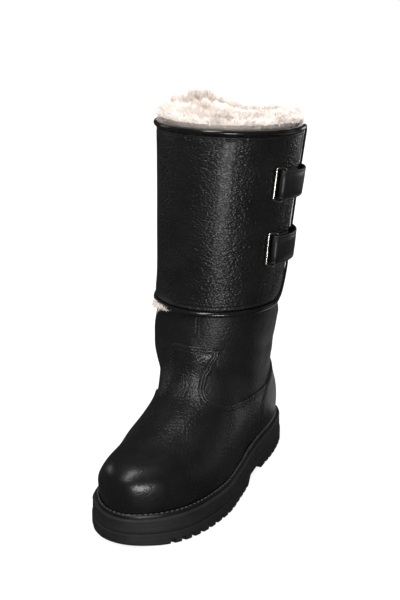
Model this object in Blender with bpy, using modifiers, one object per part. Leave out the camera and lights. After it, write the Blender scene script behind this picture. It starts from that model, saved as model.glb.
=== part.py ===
"""Left boot: mid-calf leather, shearling lined, with a strapped wrap cuff and a lugged rubber sole.

Sizes are in millimetres and become metres as each mesh is made. +Z is up, the toe points to -Y,
and +X is the outer side of the foot, where two straps close the cuff. A point on the upper's skin
is named by its turn (0 toe, 0.25 outer side, 0.5 heel, 0.75 inner side), its level, which is its
height before the sole's slope and the rim's tilt are added, and its lift off the skin.
"""

from collections import namedtuple
from math import cos, pi, sin

import bmesh
import bpy
import numpy as np

MM = 0.001
GAP = 0.35

SOLE_TOE = -147.5
SOLE_HEEL = 145.0
SOLE_HALF = 0.5 * (SOLE_HEEL - SOLE_TOE)
SOLE_MIDDLE = 0.5 * (SOLE_HEEL + SOLE_TOE)
SOLE_TOE_HEIGHT = 25.0
SOLE_HEEL_HEIGHT = 28.5
SOLE_SLOPE_START = -40.0
SOLE_SLOPE_END = 70.0
SOLE_STATIONS = 30
TOE_SPRING = 2.0
TOE_SPRING_START = -118.0
ARCH_HEIGHT = 7.0
ARCH_FRONT = 4.0
ARCH_FRONT_RUN = 8.0
HEEL_BREAST = 46.0
HEEL_BREAST_RUN = 4.0
SIDE_STEP = 0.8
SIDE_STEP_SHARE = 0.45
EDGE_ROUND = 1.6

LUG_PITCH = 10.7
NOTCH_WIDTH = 3.4
NOTCH_LENGTH = 17.0
NOTCH_DEPTH = 4.0
NOTCH_OVERSHOOT = 3.0
TREAD_RUNS = ((-124.5, -2.0), (58.0, 118.0))
SLOT_WIDTH = 4.4
SLOT_SHARE = 0.36

WALL = 2.5
FEATHER_INSET = 8.0
FEATHER = SOLE_TOE_HEIGHT + GAP
SHAFT_TOP = 318.0
RIM_TILT = 0.08
TILT_START = 165.0
SLOPE_END = 75.0
ARCH_POWER = 2.4
TOE_MIDDLE = -95.0
TOE_BLEND_START = -116.0
TOE_BLEND_END = -80.0
BULGE = 0.045
BULGE_HEIGHT = 50.0
RIDGE_SHIFT = -1.0
ROOF_START = 54.0
JOIN_REACH = 20.0
THROAT_START = 95.0
THROAT_END = 150.0
CENTRE_LOW = 60.0
CENTRE_HIGH = 140.0
TURN_STEP = 0.002
LEVEL_STEP = 0.4
TURNS = 30
FOOT_LEVELS = 18
SHAFT_LEVELS = 6

INSOLE_THICKNESS = 4.0
WELT_EDGE_INSET = 3.0
WELT_RIB_INSET = 4.0
WELT_LIP = 1.4
WELT_SHOULDER = 3.1
WELT_RIB = 3.8

OVERLAY = 1.3
PANEL_RISE = 1.0
PANEL_STEPS = 9
TOOL_FRONT = -160.0
TOOL_BACK = 160.0
TOOL_SIDE = 90.0
CUFF_LIFT = 0.5
CUFF_WALL = 2.6
PIPING_RADIUS = 2.6
PIPING_LIFT = 3.1
HEM = 163.0
CUFF_OPEN_START = 0.30
CUFF_OPEN_END = 0.415
CORNER_ROUND = 26.0
CUFF_GIRTH = 375.0

STRAP_WIDTH = 25.0
STRAP_WALL = 2.4
STRAP_TURN = 0.2
STRAP_LENGTH = 112.0
STRAP_FALL = 0.06
STRAP_TAIL = 22.0
STRAP_HEIGHTS = {"upper": 276.0, "lower": 219.0}
RING_WIRE = 1.3
RING_HALF_HEIGHT = 14.4
RING_DEPTH = 7.5
RING_CORNER = 2.5

STRAP_STEPS = 13
CORNER_STEPS = 5
CUFF_ROWS = 6
PIPING_RUN = 22
PIPING_RISE = 6

FUR_FOOT = 8.0
FUR_LOCKS = 28
FUR_SEED = 7
LOCK_RADIUS = 8.0
LOCK_FOOT = 12.0
LOCK_SIDES = 5
LOCK_TIP_SHARE = 0.25
LOCK_HEIGHT = (9.0, 16.0)
LOCK_LIFT = (-15.0, -3.0)
LOCK_LEAN = (-7.0, 7.0)

Station = namedtuple("Station", "along outer inner")
OUTLINE = (
    Station(SOLE_HEEL, 2.5, 2.5),
    Station(139.0, 18.5, -13.5),
    Station(128.0, 29.5, -25.0),
    Station(112.0, 36.8, -32.5),
    Station(95.0, 40.6, -36.5),
    Station(72.0, 43.4, -38.5),
    Station(48.0, 44.4, -37.0),
    Station(18.0, 46.8, -35.0),
    Station(-17.0, 51.6, -44.0),
    Station(-52.0, 54.8, -53.8),
    Station(-84.0, 51.3, -55.3),
    Station(-110.0, 43.0, -51.2),
    Station(-128.0, 30.5, -41.0),
    Station(-140.0, 15.5, -28.5),
    Station(SOLE_TOE, -6.5, -6.5),
)

Ridge = namedtuple("Ridge", "level front")
RIDGE = (
    Ridge(24.0, -139.0),
    Ridge(38.0, -141.8),
    Ridge(54.0, -141.0),
    Ridge(61.0, -135.0),
    Ridge(67.0, -122.5),
    Ridge(71.0, -107.0),
    Ridge(74.5, -89.0),
    Ridge(78.5, -71.0),
    Ridge(84.0, -55.0),
    Ridge(92.0, -41.0),
    Ridge(102.0, -30.5),
    Ridge(112.0, -24.0),
    Ridge(123.0, -19.8),
    Ridge(135.0, -17.0),
    Ridge(148.0, -13.8),
    Ridge(165.0, 0.0),
)

Leg = namedtuple("Leg", "level front back outer inner")
LEG = (
    Leg(24.0, 10.0, 136.0, 22.0, 24.0),
    Leg(45.0, 0.0, 137.0, 29.0, 34.0),
    Leg(65.0, -7.0, 129.0, 34.5, 44.5),
    Leg(85.0, -11.5, 114.5, 39.5, 53.0),
    Leg(105.0, -14.5, 105.0, 43.2, 59.0),
    Leg(125.0, -15.8, 103.0, 46.4, 60.6),
    Leg(145.0, -14.5, 104.5, 49.4, 58.4),
    Leg(HEM, -11.5, 106.5, 51.8, 55.8),
    Leg(240.0, -5.0, 121.0, 56.2, 58.4),
    Leg(SHAFT_TOP, 1.0, 138.5, 62.5, 62.4),
)

Bow = namedtuple("Bow", "run lift")
STRAP_BOW = (
    Bow(0.0, 5.7),
    Bow(22.0, 4.8),
    Bow(51.0, 3.8),
    Bow(84.0, 3.6),
    Bow(99.0, 0.2),
    Bow(STRAP_LENGTH, 0.0),
)

Fur = namedtuple("Fur", "lift rise")
FUR_PROFILE = (
    Fur(-WALL - GAP, -26.0),
    Fur(-WALL - GAP, 0.0),
    Fur(-WALL - GAP, FUR_FOOT),
    Fur(1.5, 10.5),
    Fur(2.0, 15.0),
    Fur(-2.0, 19.0),
    Fur(-9.0, 21.0),
    Fur(-16.0, 18.0),
    Fur(-20.0, 8.0),
    Fur(-18.0, -12.0),
    Fur(-11.0, -25.0),
)

FurHeight = namedtuple("FurHeight", "turn share")
FUR_HEIGHTS = (
    FurHeight(0.0, 0.70),
    FurHeight(0.2, 0.68),
    FurHeight(0.38, 0.42),
    FurHeight(0.52, 0.15),
    FurHeight(0.68, 1.0),
    FurHeight(0.82, 0.62),
    FurHeight(1.0, 0.70),
)

Side = namedtuple("Side", "along height")
COUNTER_EDGE = (
    Side(45.0, 35.0),
    Side(45.0, 48.0),
    Side(46.0, 60.0),
    Side(49.5, 70.0),
    Side(55.0, 78.5),
    Side(66.0, 86.0),
    Side(84.0, 94.0),
    Side(110.0, 99.0),
)
VAMP_SEAM = (
    Side(58.0, 81.5),
    Side(40.0, 80.8),
    Side(14.0, 81.6),
    Side(-12.0, 85.0),
    Side(-24.0, 87.5),
    Side(-33.0, 92.0),
    Side(-38.0, 100.0),
)

Tab = namedtuple("Tab", "half height")
TAB_MIDDLE = -1.5
TAB_BACK = 15.0
TAB_EDGE = (
    Tab(38.0, 78.0),
    Tab(31.0, 89.0),
    Tab(23.5, 95.5),
    Tab(19.6, 102.0),
    Tab(18.8, 110.0),
    Tab(19.2, 118.0),
    Tab(20.0, 127.0),
    Tab(19.6, 132.5),
    Tab(17.0, 135.0),
    Tab(8.0, 136.0),
)


def smooth(x, knots, values):
    """Cubic through the knots that never overshoots them."""
    knots = np.asarray(knots, float)
    values = np.asarray(values, float)
    step = np.diff(knots)
    slope = np.diff(values) / step
    same_way = slope[:-1] * slope[1:] > 0
    before = np.where(same_way, slope[:-1], 1.0)
    after = np.where(same_way, slope[1:], 1.0)
    weight = (2 * step[1:] + step[:-1], step[1:] + 2 * step[:-1])
    inner = (weight[0] + weight[1]) / (weight[0] / before + weight[1] / after)
    tangent = np.concatenate([slope[:1], np.where(same_way, inner, 0.0), slope[-1:]])
    i = np.clip(np.searchsorted(knots, x) - 1, 0, len(step) - 1)
    u = np.clip((x - knots[i]) / step[i], 0.0, 1.0)
    start = values[i] * (1 + 2 * u) + tangent[i] * step[i] * u
    end = values[i + 1] * (3 - 2 * u) + tangent[i + 1] * step[i] * (u - 1)
    return start * (1 - u) ** 2 + end * u**2


def column(table, name):
    """One named column of a table of rows."""
    return [getattr(row, name) for row in table]


def ease(x, low, high):
    """Soft step from 0 at low to 1 at high."""
    u = np.clip((x - low) / (high - low), 0.0, 1.0)
    return u * u * (3 - 2 * u)


def soft_max(a, b, reach):
    """Larger of two half widths, rounded where they are close, and nil where both are nil."""
    reach = np.maximum(np.minimum(reach, np.minimum(a, b)), 1e-6)
    return np.maximum(a, b) + np.maximum(reach - np.abs(a - b), 0.0) ** 2 / (4 * reach)


def sole_angle(y):
    """Angle round the sole of a place along its outer side."""
    return np.arccos((y - SOLE_MIDDLE) / SOLE_HALF)


def sole_edge(angle):
    """Plan point on the sole's edge; angle 0 is the heel's end, pi the toe, 0 to pi the outer side."""
    angle = np.asarray(angle, float)
    bend = np.arccos(np.clip(np.cos(angle), -1.0, 1.0))
    knots = sole_angle(np.asarray(column(OUTLINE, "along")))
    outer = smooth(bend, knots, column(OUTLINE, "outer"))
    inner = smooth(bend, knots, column(OUTLINE, "inner"))
    x = np.where(np.sin(angle) >= 0, outer, inner)
    return np.stack([x, SOLE_MIDDLE + SOLE_HALF * np.cos(bend)], -1)


def sole_normal(angle):
    """Outward plan direction at the sole's edge."""
    step = 0.02
    along = sole_edge(np.asarray(angle) + step) - sole_edge(np.asarray(angle) - step)
    out = np.stack([along[..., 1], -along[..., 0]], -1)
    return -out / np.linalg.norm(out, axis=-1, keepdims=True)


def sole_inset(angle, inset):
    """Plan point a set distance inside the sole's edge."""
    return sole_edge(angle) - inset * sole_normal(angle)


def sole_top(y):
    """Height of the sole's top edge."""
    return SOLE_TOE_HEIGHT + (SOLE_HEEL_HEIGHT - SOLE_TOE_HEIGHT) * ease(y, SOLE_SLOPE_START, SOLE_SLOPE_END)


def sole_bottom(y):
    """Height of the sole's underside, with toe spring, waist arch and heel."""
    spring = TOE_SPRING * np.clip((TOE_SPRING_START - y) / (TOE_SPRING_START - SOLE_TOE), 0, 1) ** 2
    rise = np.clip((y - ARCH_FRONT) / ARCH_FRONT_RUN, 0, 1)
    fall = np.clip((HEEL_BREAST - y) / HEEL_BREAST_RUN, 0, 1)
    return spring + ARCH_HEIGHT * np.minimum(rise, fall)


FEATHER_ANGLES = np.linspace(0.0, pi, 361)
FEATHER_OUTER = sole_inset(FEATHER_ANGLES, FEATHER_INSET)[:, 0]
FEATHER_INNER = sole_inset(-FEATHER_ANGLES, FEATHER_INSET)[:, 0]
FEATHER_HALF = SOLE_HALF - FEATHER_INSET
FEATHER_TIP = SOLE_MIDDLE - FEATHER_HALF
ROOF_LEVELS = np.linspace(ROOF_START, RIDGE[-1].level, 300)
ROOF_FRONTS = smooth(ROOF_LEVELS, column(RIDGE, "level"), column(RIDGE, "front"))


UPPER_TURNS = np.arange(TURNS) / TURNS


def leg_at(level, name):
    """One of the leg's sizes at a level."""
    return smooth(level, column(LEG, "level"), column(LEG, name))


def front_at(level):
    """Foremost point of the upper at a level: the vamp's ridge, then the leg's front."""
    ridge = smooth(level, column(RIDGE, "level"), column(RIDGE, "front"))
    return np.minimum(ridge, leg_at(level, "front"))


def skin(turn, level):
    """Point on the outside of the upper, the form of the last with its leg."""
    turn, level = np.broadcast_arrays(np.asarray(turn, float), np.asarray(level, float))
    front = front_at(level)
    back = leg_at(level, "back")
    middle_y = 0.5 * (front + back)
    y = middle_y - 0.5 * (back - front) * np.cos(2 * pi * turn)

    toe = np.maximum((TOE_MIDDLE - front) / (TOE_MIDDLE - FEATHER_TIP), 1e-3)
    plan_y = np.where(y < TOE_MIDDLE, TOE_MIDDLE - (TOE_MIDDLE - y) / toe, y)
    away = plan_y - SOLE_MIDDLE
    reach = np.where(away < 0, FEATHER_HALF, np.maximum(back - SOLE_MIDDLE, FEATHER_HALF))
    angle = np.arccos(np.clip(away / reach, -1.0, 1.0))
    outer = np.interp(angle, FEATHER_ANGLES, FEATHER_OUTER)
    inner = np.interp(angle, FEATHER_ANGLES, FEATHER_INNER)
    roof = np.interp(y, ROOF_FRONTS, ROOF_LEVELS)
    rise = np.clip((level - SOLE_TOE_HEIGHT) / (roof - SOLE_TOE_HEIGHT), 0.0, 1.0)
    arch = (1 - rise**ARCH_POWER) ** (1 / ARCH_POWER)
    bulge = 1 + BULGE * np.sin(pi * np.clip((level - SOLE_TOE_HEIGHT) / BULGE_HEIGHT, 0.0, 1.0))
    fullness = toe + (arch * bulge - toe) * ease(y, TOE_BLEND_START, TOE_BLEND_END)
    foot = 0.5 * (outer - inner) * fullness * (1 - ease(level, THROAT_START, THROAT_END))

    leg_front = leg_at(level, "front")
    share = (y - 0.5 * (leg_front + back)) / (0.5 * (back - leg_front))
    side = np.where(np.sin(2 * pi * turn) >= 0, 1.0, -1.0)
    leg_half = np.where(side > 0, leg_at(level, "outer"), leg_at(level, "inner"))
    leg = leg_half * np.sqrt(np.clip(1 - share**2, 0.0, None))

    centre = (0.5 * (outer + inner) + RIDGE_SHIFT * rise**2) * (1 - ease(level, CENTRE_LOW, CENTRE_HIGH))
    x = centre + side * soft_max(foot, leg, JOIN_REACH)
    slope = (sole_top(y) - SOLE_TOE_HEIGHT) * (1 - ease(level, SOLE_TOE_HEIGHT, SLOPE_END))
    tilt = RIM_TILT * np.clip((level - TILT_START) / (SHAFT_TOP - TILT_START), 0.0, None)
    return np.stack([x, y, level + slope - tilt * (y - middle_y)], -1)


def surface(turn, level, lift):
    """Point on the upper's skin, or lifted off it along its normal."""
    turn, level, lift = np.broadcast_arrays(
        np.asarray(turn, float), np.asarray(level, float), np.asarray(lift, float)
    )
    across = skin(turn + TURN_STEP, level) - skin(turn - TURN_STEP, level)
    upward = skin(turn, level + LEVEL_STEP) - skin(turn, level - LEVEL_STEP)
    out = np.cross(across, upward)
    out = out / np.linalg.norm(out, axis=-1, keepdims=True)
    return skin(turn, level) + lift[..., None] * out


def skin_levels(low, high, count):
    """Levels spaced evenly along the front of the upper."""
    fine = np.linspace(low, high, 400)
    run = np.hypot(np.diff(front_at(fine)), np.diff(fine))
    travelled = np.concatenate([[0.0], np.cumsum(run)])
    return np.interp(np.linspace(0.0, travelled[-1], count), travelled, fine)


FOOT_ROWS = skin_levels(FEATHER, HEM, FOOT_LEVELS)


def material(name, colour, roughness, metallic=0.0):
    """Plain finish for one piece."""
    finish = bpy.data.materials.new(name)
    finish.use_nodes = True
    shader = finish.node_tree.nodes["Principled BSDF"]
    shader.inputs["Base Color"].default_value = (*colour, 1.0)
    shader.inputs["Roughness"].default_value = roughness
    shader.inputs["Metallic"].default_value = metallic
    finish.diffuse_color = (*colour, 1.0)
    return finish


def add_object(name, mesh, collection, finish=None):
    """Put a mesh into the scene as a named object."""
    piece = bpy.data.objects.new(name, mesh)
    collection.objects.link(piece)
    if finish is not None:
        mesh.materials.append(finish)
        mesh.shade_smooth()
        mesh.set_sharp_from_angle(angle=0.7)
    else:
        piece.hide_render = True
        piece.display_type = "WIRE"
    return piece


def mesh_from(name, points, faces):
    """Mesh in metres from points in millimetres, its faces turned outward."""
    mesh = bpy.data.meshes.new(name)
    mesh.from_pydata((np.asarray(points) * MM).tolist(), [], faces)
    work = bmesh.new()
    work.from_mesh(mesh)
    bmesh.ops.recalc_face_normals(work, faces=work.faces)
    work.to_mesh(mesh)
    work.free()
    return mesh


def grid_faces(points, columns, closed):
    """Triangles of a grid of points, row by row, each cell split along its shorter diagonal."""
    faces = []
    last = columns if closed else columns - 1
    for row in range(len(points) // columns - 1):
        for col in range(last):
            a = row * columns + col
            b = row * columns + (col + 1) % columns
            c, d = b + columns, a + columns
            if np.linalg.norm(points[a] - points[c]) <= np.linalg.norm(points[b] - points[d]):
                faces += [(a, b, c), (a, c, d)]
            else:
                faces += [(a, b, d), (b, c, d)]
    return faces


def skin_mesh(name, turns, levels, lift):
    """Open tube that follows the upper's skin, split into the same triangles at every lift."""
    base = np.concatenate([surface(turns, level, 0.0) for level in levels])
    points = np.concatenate([surface(turns, level, lift) for level in levels])
    mesh = bpy.data.meshes.new(name)
    mesh.from_pydata((points * MM).tolist(), [], grid_faces(base, len(turns), True))
    return mesh


def thicken(piece, wall, side):
    """Give a sheet its wall, laid inward for side -1 and outward for side 1."""
    solid = piece.modifiers.new("wall", "SOLIDIFY")
    solid.thickness = wall * MM
    solid.offset = side
    solid.use_even_offset = True


def cut(piece, tool, operation):
    """Cut a piece with a tool, or keep what lies inside the tool."""
    step = piece.modifiers.new(operation.lower(), "BOOLEAN")
    step.operation = operation
    step.object = tool
    step.solver = "EXACT"


def ladder_mesh(name, rings):
    """Closed solid lofted through plan rings, its ends closed by rungs from side to side."""
    count = len(rings[0])
    points = np.concatenate(rings)
    faces = grid_faces(points, count, True)
    for base in (0, (len(rings) - 1) * count):
        for i in range(count // 2):
            corners = (i, i + 1, count - i - 1, (count - i) % count)
            faces.append(tuple(dict.fromkeys(base + corner for corner in corners)))
    return mesh_from(name, points, faces)


def torus_mesh(name, rings):
    """Closed band through rings that return to the first one."""
    count = len(rings[0])
    total = len(rings) * count
    points = np.concatenate(rings)
    faces = grid_faces(np.concatenate([points, rings[0]]), count, True)
    return mesh_from(name, points, [tuple(i % total for i in face) for face in faces])


def bar_mesh(name, sections):
    """Solid lofted through open sections, each with the same number of corners."""
    count = len(sections[0])
    points = np.concatenate(sections)
    faces = grid_faces(points, count, True)
    faces.append(tuple(range(count)))
    faces.append(tuple(range(len(points) - count, len(points))))
    return mesh_from(name, points, faces)


def prism_mesh(name, corners, axis, low, high):
    """Outline in the plane across an axis, extruded from low to high along it."""
    sections = []
    for depth in (low, high):
        sections.append(np.array([(depth, u, v) if axis == "X" else (u, depth, v) for u, v in corners]))
    return bar_mesh(name, sections)


def wire_mesh(name, points, radius, sides_step):
    """Closed loop of round wire or piping."""
    curve = bpy.data.curves.new(name, "CURVE")
    curve.dimensions = "3D"
    curve.bevel_depth = radius * MM
    curve.bevel_resolution = sides_step
    spline = curve.splines.new("POLY")
    spline.points.add(len(points) - 1)
    for knot, point in zip(spline.points, points):
        knot.co = (*(np.asarray(point) * MM), 1.0)
    spline.use_cyclic_u = True
    holder = bpy.data.objects.new(name + "_path", curve)
    bpy.context.scene.collection.objects.link(holder)
    bpy.context.view_layer.update()
    evaluated = holder.evaluated_get(bpy.context.evaluated_depsgraph_get())
    mesh = bpy.data.meshes.new_from_object(evaluated)
    bpy.data.objects.remove(holder)
    mesh.name = name
    return mesh


def sole_angles():
    """Angles round the sole, evenly spaced and with a station at each corner of the arch and heel."""
    corners = (ARCH_FRONT, ARCH_FRONT + ARCH_FRONT_RUN, HEEL_BREAST - HEEL_BREAST_RUN, HEEL_BREAST)
    corner_angles = [sole_angle(y) for y in corners]
    even = [pi * k / SOLE_STATIONS for k in range(SOLE_STATIONS + 1)]
    spare = 0.4 * pi / SOLE_STATIONS
    even = [a for a in even if min(abs(a - c) for c in corner_angles) > spare]
    half = sorted(even + corner_angles)
    return np.array(half + [-a for a in reversed(half[1:-1])])


def notch_angles(front, back):
    """Angles on the outer side where the side notches stand, a lug's pitch apart."""
    fine = np.linspace(sole_angle(back), sole_angle(front), 600)
    run = np.linalg.norm(np.diff(sole_edge(fine), axis=0), axis=1)
    travelled = np.concatenate([[0.0], np.cumsum(run)])
    count = int(round(travelled[-1] / LUG_PITCH))
    return np.interp(np.linspace(0.0, travelled[-1], count + 1), travelled, fine)


def tread_tool(collection):
    """Bars that cut the side notches and the middle slots of the tread."""
    work = bmesh.new()

    def bar(centre, length, width, heading):
        made = bmesh.ops.create_cube(work, size=1.0)["verts"]
        for vert in made:
            u, v, w = vert.co
            along, across = u * length, v * width
            vert.co.x = (centre[0] + along * cos(heading) - across * sin(heading)) * MM
            vert.co.y = (centre[1] + along * sin(heading) + across * cos(heading)) * MM
            vert.co.z = w * 2 * NOTCH_DEPTH * MM

    for front, back in TREAD_RUNS:
        angles = notch_angles(front, back)
        for angle in angles:
            for side in (1.0, -1.0):
                edge = sole_edge(side * angle)
                out = sole_normal(side * angle)
                reach = 0.5 * NOTCH_LENGTH - NOTCH_OVERSHOOT
                bar(edge - out * reach, NOTCH_LENGTH, NOTCH_WIDTH, np.arctan2(out[1], out[0]))
        for first, second in zip(angles[:-1:2], angles[1::2]):
            outer = sole_edge(0.5 * (first + second))
            inner = sole_edge(-0.5 * (first + second))
            bar(0.5 * (outer + inner), SLOT_SHARE * (outer[0] - inner[0]), SLOT_WIDTH, 0.0)
    mesh = bpy.data.meshes.new("tread_tool")
    work.to_mesh(mesh)
    work.free()
    return add_object("tread_tool", mesh, collection)


def sole_ring(angles, inset, height):
    """Ring of points inside the sole's edge at a height given by the plan point."""
    plan = sole_inset(angles, inset)
    return np.column_stack([plan, height(plan[:, 1])])


def make_outsole(parts, tools, finish):
    """One-piece rubber unit with its rounded edges and the step in its side."""
    angles = sole_angles()

    def share(part, rise):
        return lambda y: sole_bottom(y) + part * (sole_top(y) - sole_bottom(y)) + rise

    rings = [
        sole_ring(angles, EDGE_ROUND, share(0.0, 0.0)),
        sole_ring(angles, 0.0, share(0.0, EDGE_ROUND)),
        sole_ring(angles, 0.0, share(SIDE_STEP_SHARE, 0.0)),
        sole_ring(angles, SIDE_STEP, share(SIDE_STEP_SHARE, SIDE_STEP)),
        sole_ring(angles, SIDE_STEP, share(1.0, -EDGE_ROUND)),
        sole_ring(angles, SIDE_STEP + EDGE_ROUND, share(1.0, 0.0)),
    ]
    sole = add_object("outsole", ladder_mesh("outsole", rings), parts, finish)
    cut(sole, tread_tool(tools), "DIFFERENCE")


def make_welt(parts, finish):
    """Strip round the upper on the sole's edge, with the raised rib that is stitched."""
    angles = pi * (1 - np.arange(2 * TURNS) / TURNS)

    def outer(inset, rise):
        return sole_ring(angles, inset, lambda y: sole_top(y) + rise)

    def inner(rise):
        ring = surface(UPPER_TURNS, SOLE_TOE_HEIGHT + rise, 2 * GAP)
        between = 0.5 * (ring + np.roll(ring, -1, axis=0))
        return np.stack([ring, between], 1).reshape(-1, 3)

    rings = [
        outer(WELT_EDGE_INSET + SIDE_STEP, GAP),
        outer(WELT_EDGE_INSET + SIDE_STEP, WELT_LIP),
        outer(WELT_RIB_INSET + SIDE_STEP, WELT_SHOULDER),
        0.5 * (outer(WELT_RIB_INSET + SIDE_STEP, WELT_RIB) + inner(WELT_RIB)),
        inner(WELT_SHOULDER),
        inner(GAP),
    ]
    add_object("welt", torus_mesh("welt", rings), parts, finish)


def make_insole(parts, finish):
    """Footbed board that closes the upper from inside."""
    bottom = surface(UPPER_TURNS, FEATHER, -(WALL + 2 * GAP))
    bottom[:, 2] = sole_top(bottom[:, 1]) + GAP
    top = bottom.copy()
    top[:, 2] = bottom[:, 2] + INSOLE_THICKNESS
    add_object("insole", ladder_mesh("insole", [bottom, top]), parts, finish)


def make_upper(parts, finish):
    """Hollow wall of the lasted foot and its shaft."""
    shaft = np.linspace(HEM, SHAFT_TOP, SHAFT_LEVELS)[1:]
    levels = np.concatenate([FOOT_ROWS, shaft])
    upper = add_object("upper", skin_mesh("upper", UPPER_TURNS, levels, 0.0), parts, finish)
    thicken(upper, WALL, -1.0)


def overlay(name, parts, finish):
    """Second layer of leather over the whole foot, to be cut to one panel."""
    piece = add_object(name, skin_mesh(name, UPPER_TURNS, FOOT_ROWS, GAP), parts, finish)
    thicken(piece, OVERLAY, 1.0)
    return piece


def welt_line(start, end):
    """Side view of the line just above the welt."""
    return [(y, sole_top(y) + WELT_RIB + PANEL_RISE) for y in np.linspace(start, end, PANEL_STEPS)]


def make_vamp(parts, tools, finish):
    """Forefoot panel, cut to its seam at the sides and to the tab up the front."""
    vamp = overlay("vamp", parts, finish)
    foot = welt_line(TOOL_FRONT, COUNTER_EDGE[0].along - 2 * GAP)
    side = foot + [(y - 2 * GAP, z) for y, z in COUNTER_EDGE if z < VAMP_SEAM[0].height] + list(VAMP_SEAM)
    side.append((TOOL_FRONT, VAMP_SEAM[-1].height))
    lower = add_object("vamp_side", prism_mesh("vamp_side", side, "X", -TOOL_SIDE, TOOL_SIDE), tools)
    front = [(TAB_MIDDLE + half, z) for half, z in TAB_EDGE]
    front += [(TAB_MIDDLE - half, z) for half, z in reversed(TAB_EDGE)]
    tab = add_object("vamp_tab", prism_mesh("vamp_tab", front, "Y", TOOL_FRONT, TAB_BACK), tools)
    cut(lower, tab, "UNION")
    cut(vamp, lower, "INTERSECT")


def make_counter(parts, tools, finish):
    """Panel round the heel."""
    counter = overlay("heel_counter", parts, finish)
    foot = welt_line(TOOL_BACK, COUNTER_EDGE[0].along)
    side = foot + list(COUNTER_EDGE) + [(TOOL_BACK, COUNTER_EDGE[-1].height)]
    tool = add_object("counter_side", prism_mesh("counter_side", side, "X", -TOOL_SIDE, TOOL_SIDE), tools)
    cut(counter, tool, "INTERSECT")


def cuff_corner(distance):
    """Rise of the panel's lower edge at a distance from its end, where its corner is round."""
    left = np.clip(CORNER_ROUND - distance, 0.0, CORNER_ROUND)
    return CORNER_ROUND - np.sqrt(CORNER_ROUND**2 - left**2)


def make_cuff(parts, finish):
    """Panel wrapped round the shaft, with its ends apart at the outer rear and their lower corners round."""
    first, last = CUFF_OPEN_END, 1 + CUFF_OPEN_START
    corner = CORNER_ROUND * (1 - np.cos(np.linspace(0.0, pi / 2, CORNER_STEPS + 1))) / CUFF_GIRTH
    even = np.arange(2 * TURNS) / TURNS
    even = even[(even > first + corner[-1]) & (even < last - corner[-1])]
    turns = np.concatenate([first + corner, even, last - corner[::-1]])
    distance = CUFF_GIRTH * np.minimum(turns - first, last - turns)
    low = HEM + 2 * PIPING_RADIUS + GAP + cuff_corner(distance)
    rows = []
    for share in np.linspace(0.0, 1.0, CUFF_ROWS):
        rows.append(surface(turns, low + share * (SHAFT_TOP - low), CUFF_LIFT))
    points = np.concatenate(rows)
    mesh = bpy.data.meshes.new("cuff")
    mesh.from_pydata((points * MM).tolist(), [], grid_faces(points, len(turns), False))
    cuff = add_object("cuff", mesh, parts, finish)
    thicken(cuff, CUFF_WALL, 1.0)


def arc_points(centre, radius, start, end, count):
    """Points on an arc, angles in quarter turns."""
    angles = np.linspace(start, end, count) * pi / 2
    return [(centre[0] + radius * cos(a), centre[1] + radius * sin(a)) for a in angles]


def make_piping(parts, finish):
    """Rolled piping along all four edges of the cuff's panel."""
    out = PIPING_RADIUS + GAP
    left = CUFF_GIRTH * CUFF_OPEN_END - out
    right = CUFF_GIRTH * (1 + CUFF_OPEN_START) + out
    low = HEM + PIPING_RADIUS
    high = SHAFT_TOP + out
    big = CORNER_ROUND + out
    path = arc_points((left + big, low + big), big, 2.0, 3.0, 7)
    path += [(s, low) for s in np.linspace(left + big, right - big, PIPING_RUN)[1:-1]]
    path += arc_points((right - big, low + big), big, 3.0, 4.0, 7)
    path += [(right, z) for z in np.linspace(low + big, high - out, PIPING_RISE)[1:-1]]
    path += arc_points((right - out, high - out), out, 0.0, 1.0, 4)
    path += [(s, high) for s in np.linspace(right - out, left + out, PIPING_RUN + 6)[1:-1]]
    path += arc_points((left + out, high - out), out, 1.0, 2.0, 4)
    path += [(left, z) for z in np.linspace(high - out, low + big, PIPING_RISE)[1:-1]]
    points = [surface(s / CUFF_GIRTH, level, PIPING_LIFT) for s, level in path]
    mesh = wire_mesh("cuff_piping", points, PIPING_RADIUS, 1)
    add_object("cuff_piping", mesh, parts, finish)


def strap_point(run, level, lift):
    """Point on the cuff at a run behind the strap's fold, where the strap falls to the rear."""
    return surface(STRAP_TURN + run / CUFF_GIRTH, level - STRAP_FALL * run, lift)


def strap_path():
    """Run and lift along the middle of a strap: sewn end, fold round the ring, then back over the opening."""
    sewn = CUFF_LIFT + CUFF_WALL + GAP + 0.5 * STRAP_WALL
    fold = RING_WIRE + GAP + 0.5 * STRAP_WALL
    path = [(run, sewn) for run in np.linspace(STRAP_TAIL, 0.0, 4)]
    path += [(-x, y) for x, y in arc_points((0.0, sewn + fold), fold, -1.0, 1.0, 7)][1:]
    runs = np.linspace(0.0, STRAP_LENGTH, STRAP_STEPS)[1:]
    lifts = smooth(runs, column(STRAP_BOW, "run"), column(STRAP_BOW, "lift"))
    return np.array(path + list(zip(runs, sewn + lifts)))


def make_strap(name, level, parts, finish):
    """Leather strap, folded round its ring's hidden bar and sewn to both ends of the cuff."""
    path = strap_path()
    along = np.gradient(path, axis=0)
    along = along / np.linalg.norm(along, axis=1, keepdims=True)
    side = 0.5 * STRAP_WALL * np.column_stack([-along[:, 1], along[:, 0]])
    sections = []
    for middle, shift in zip(path, side):
        corners = []
        for offset, rise in ((shift, -0.5), (-shift, -0.5), (-shift, 0.5), (shift, 0.5)):
            run, lift = middle + offset
            corners.append(strap_point(run, level + rise * STRAP_WIDTH, lift))
        sections.append(np.array(corners))
    add_object(name, bar_mesh(name, sections), parts, finish)


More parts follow.
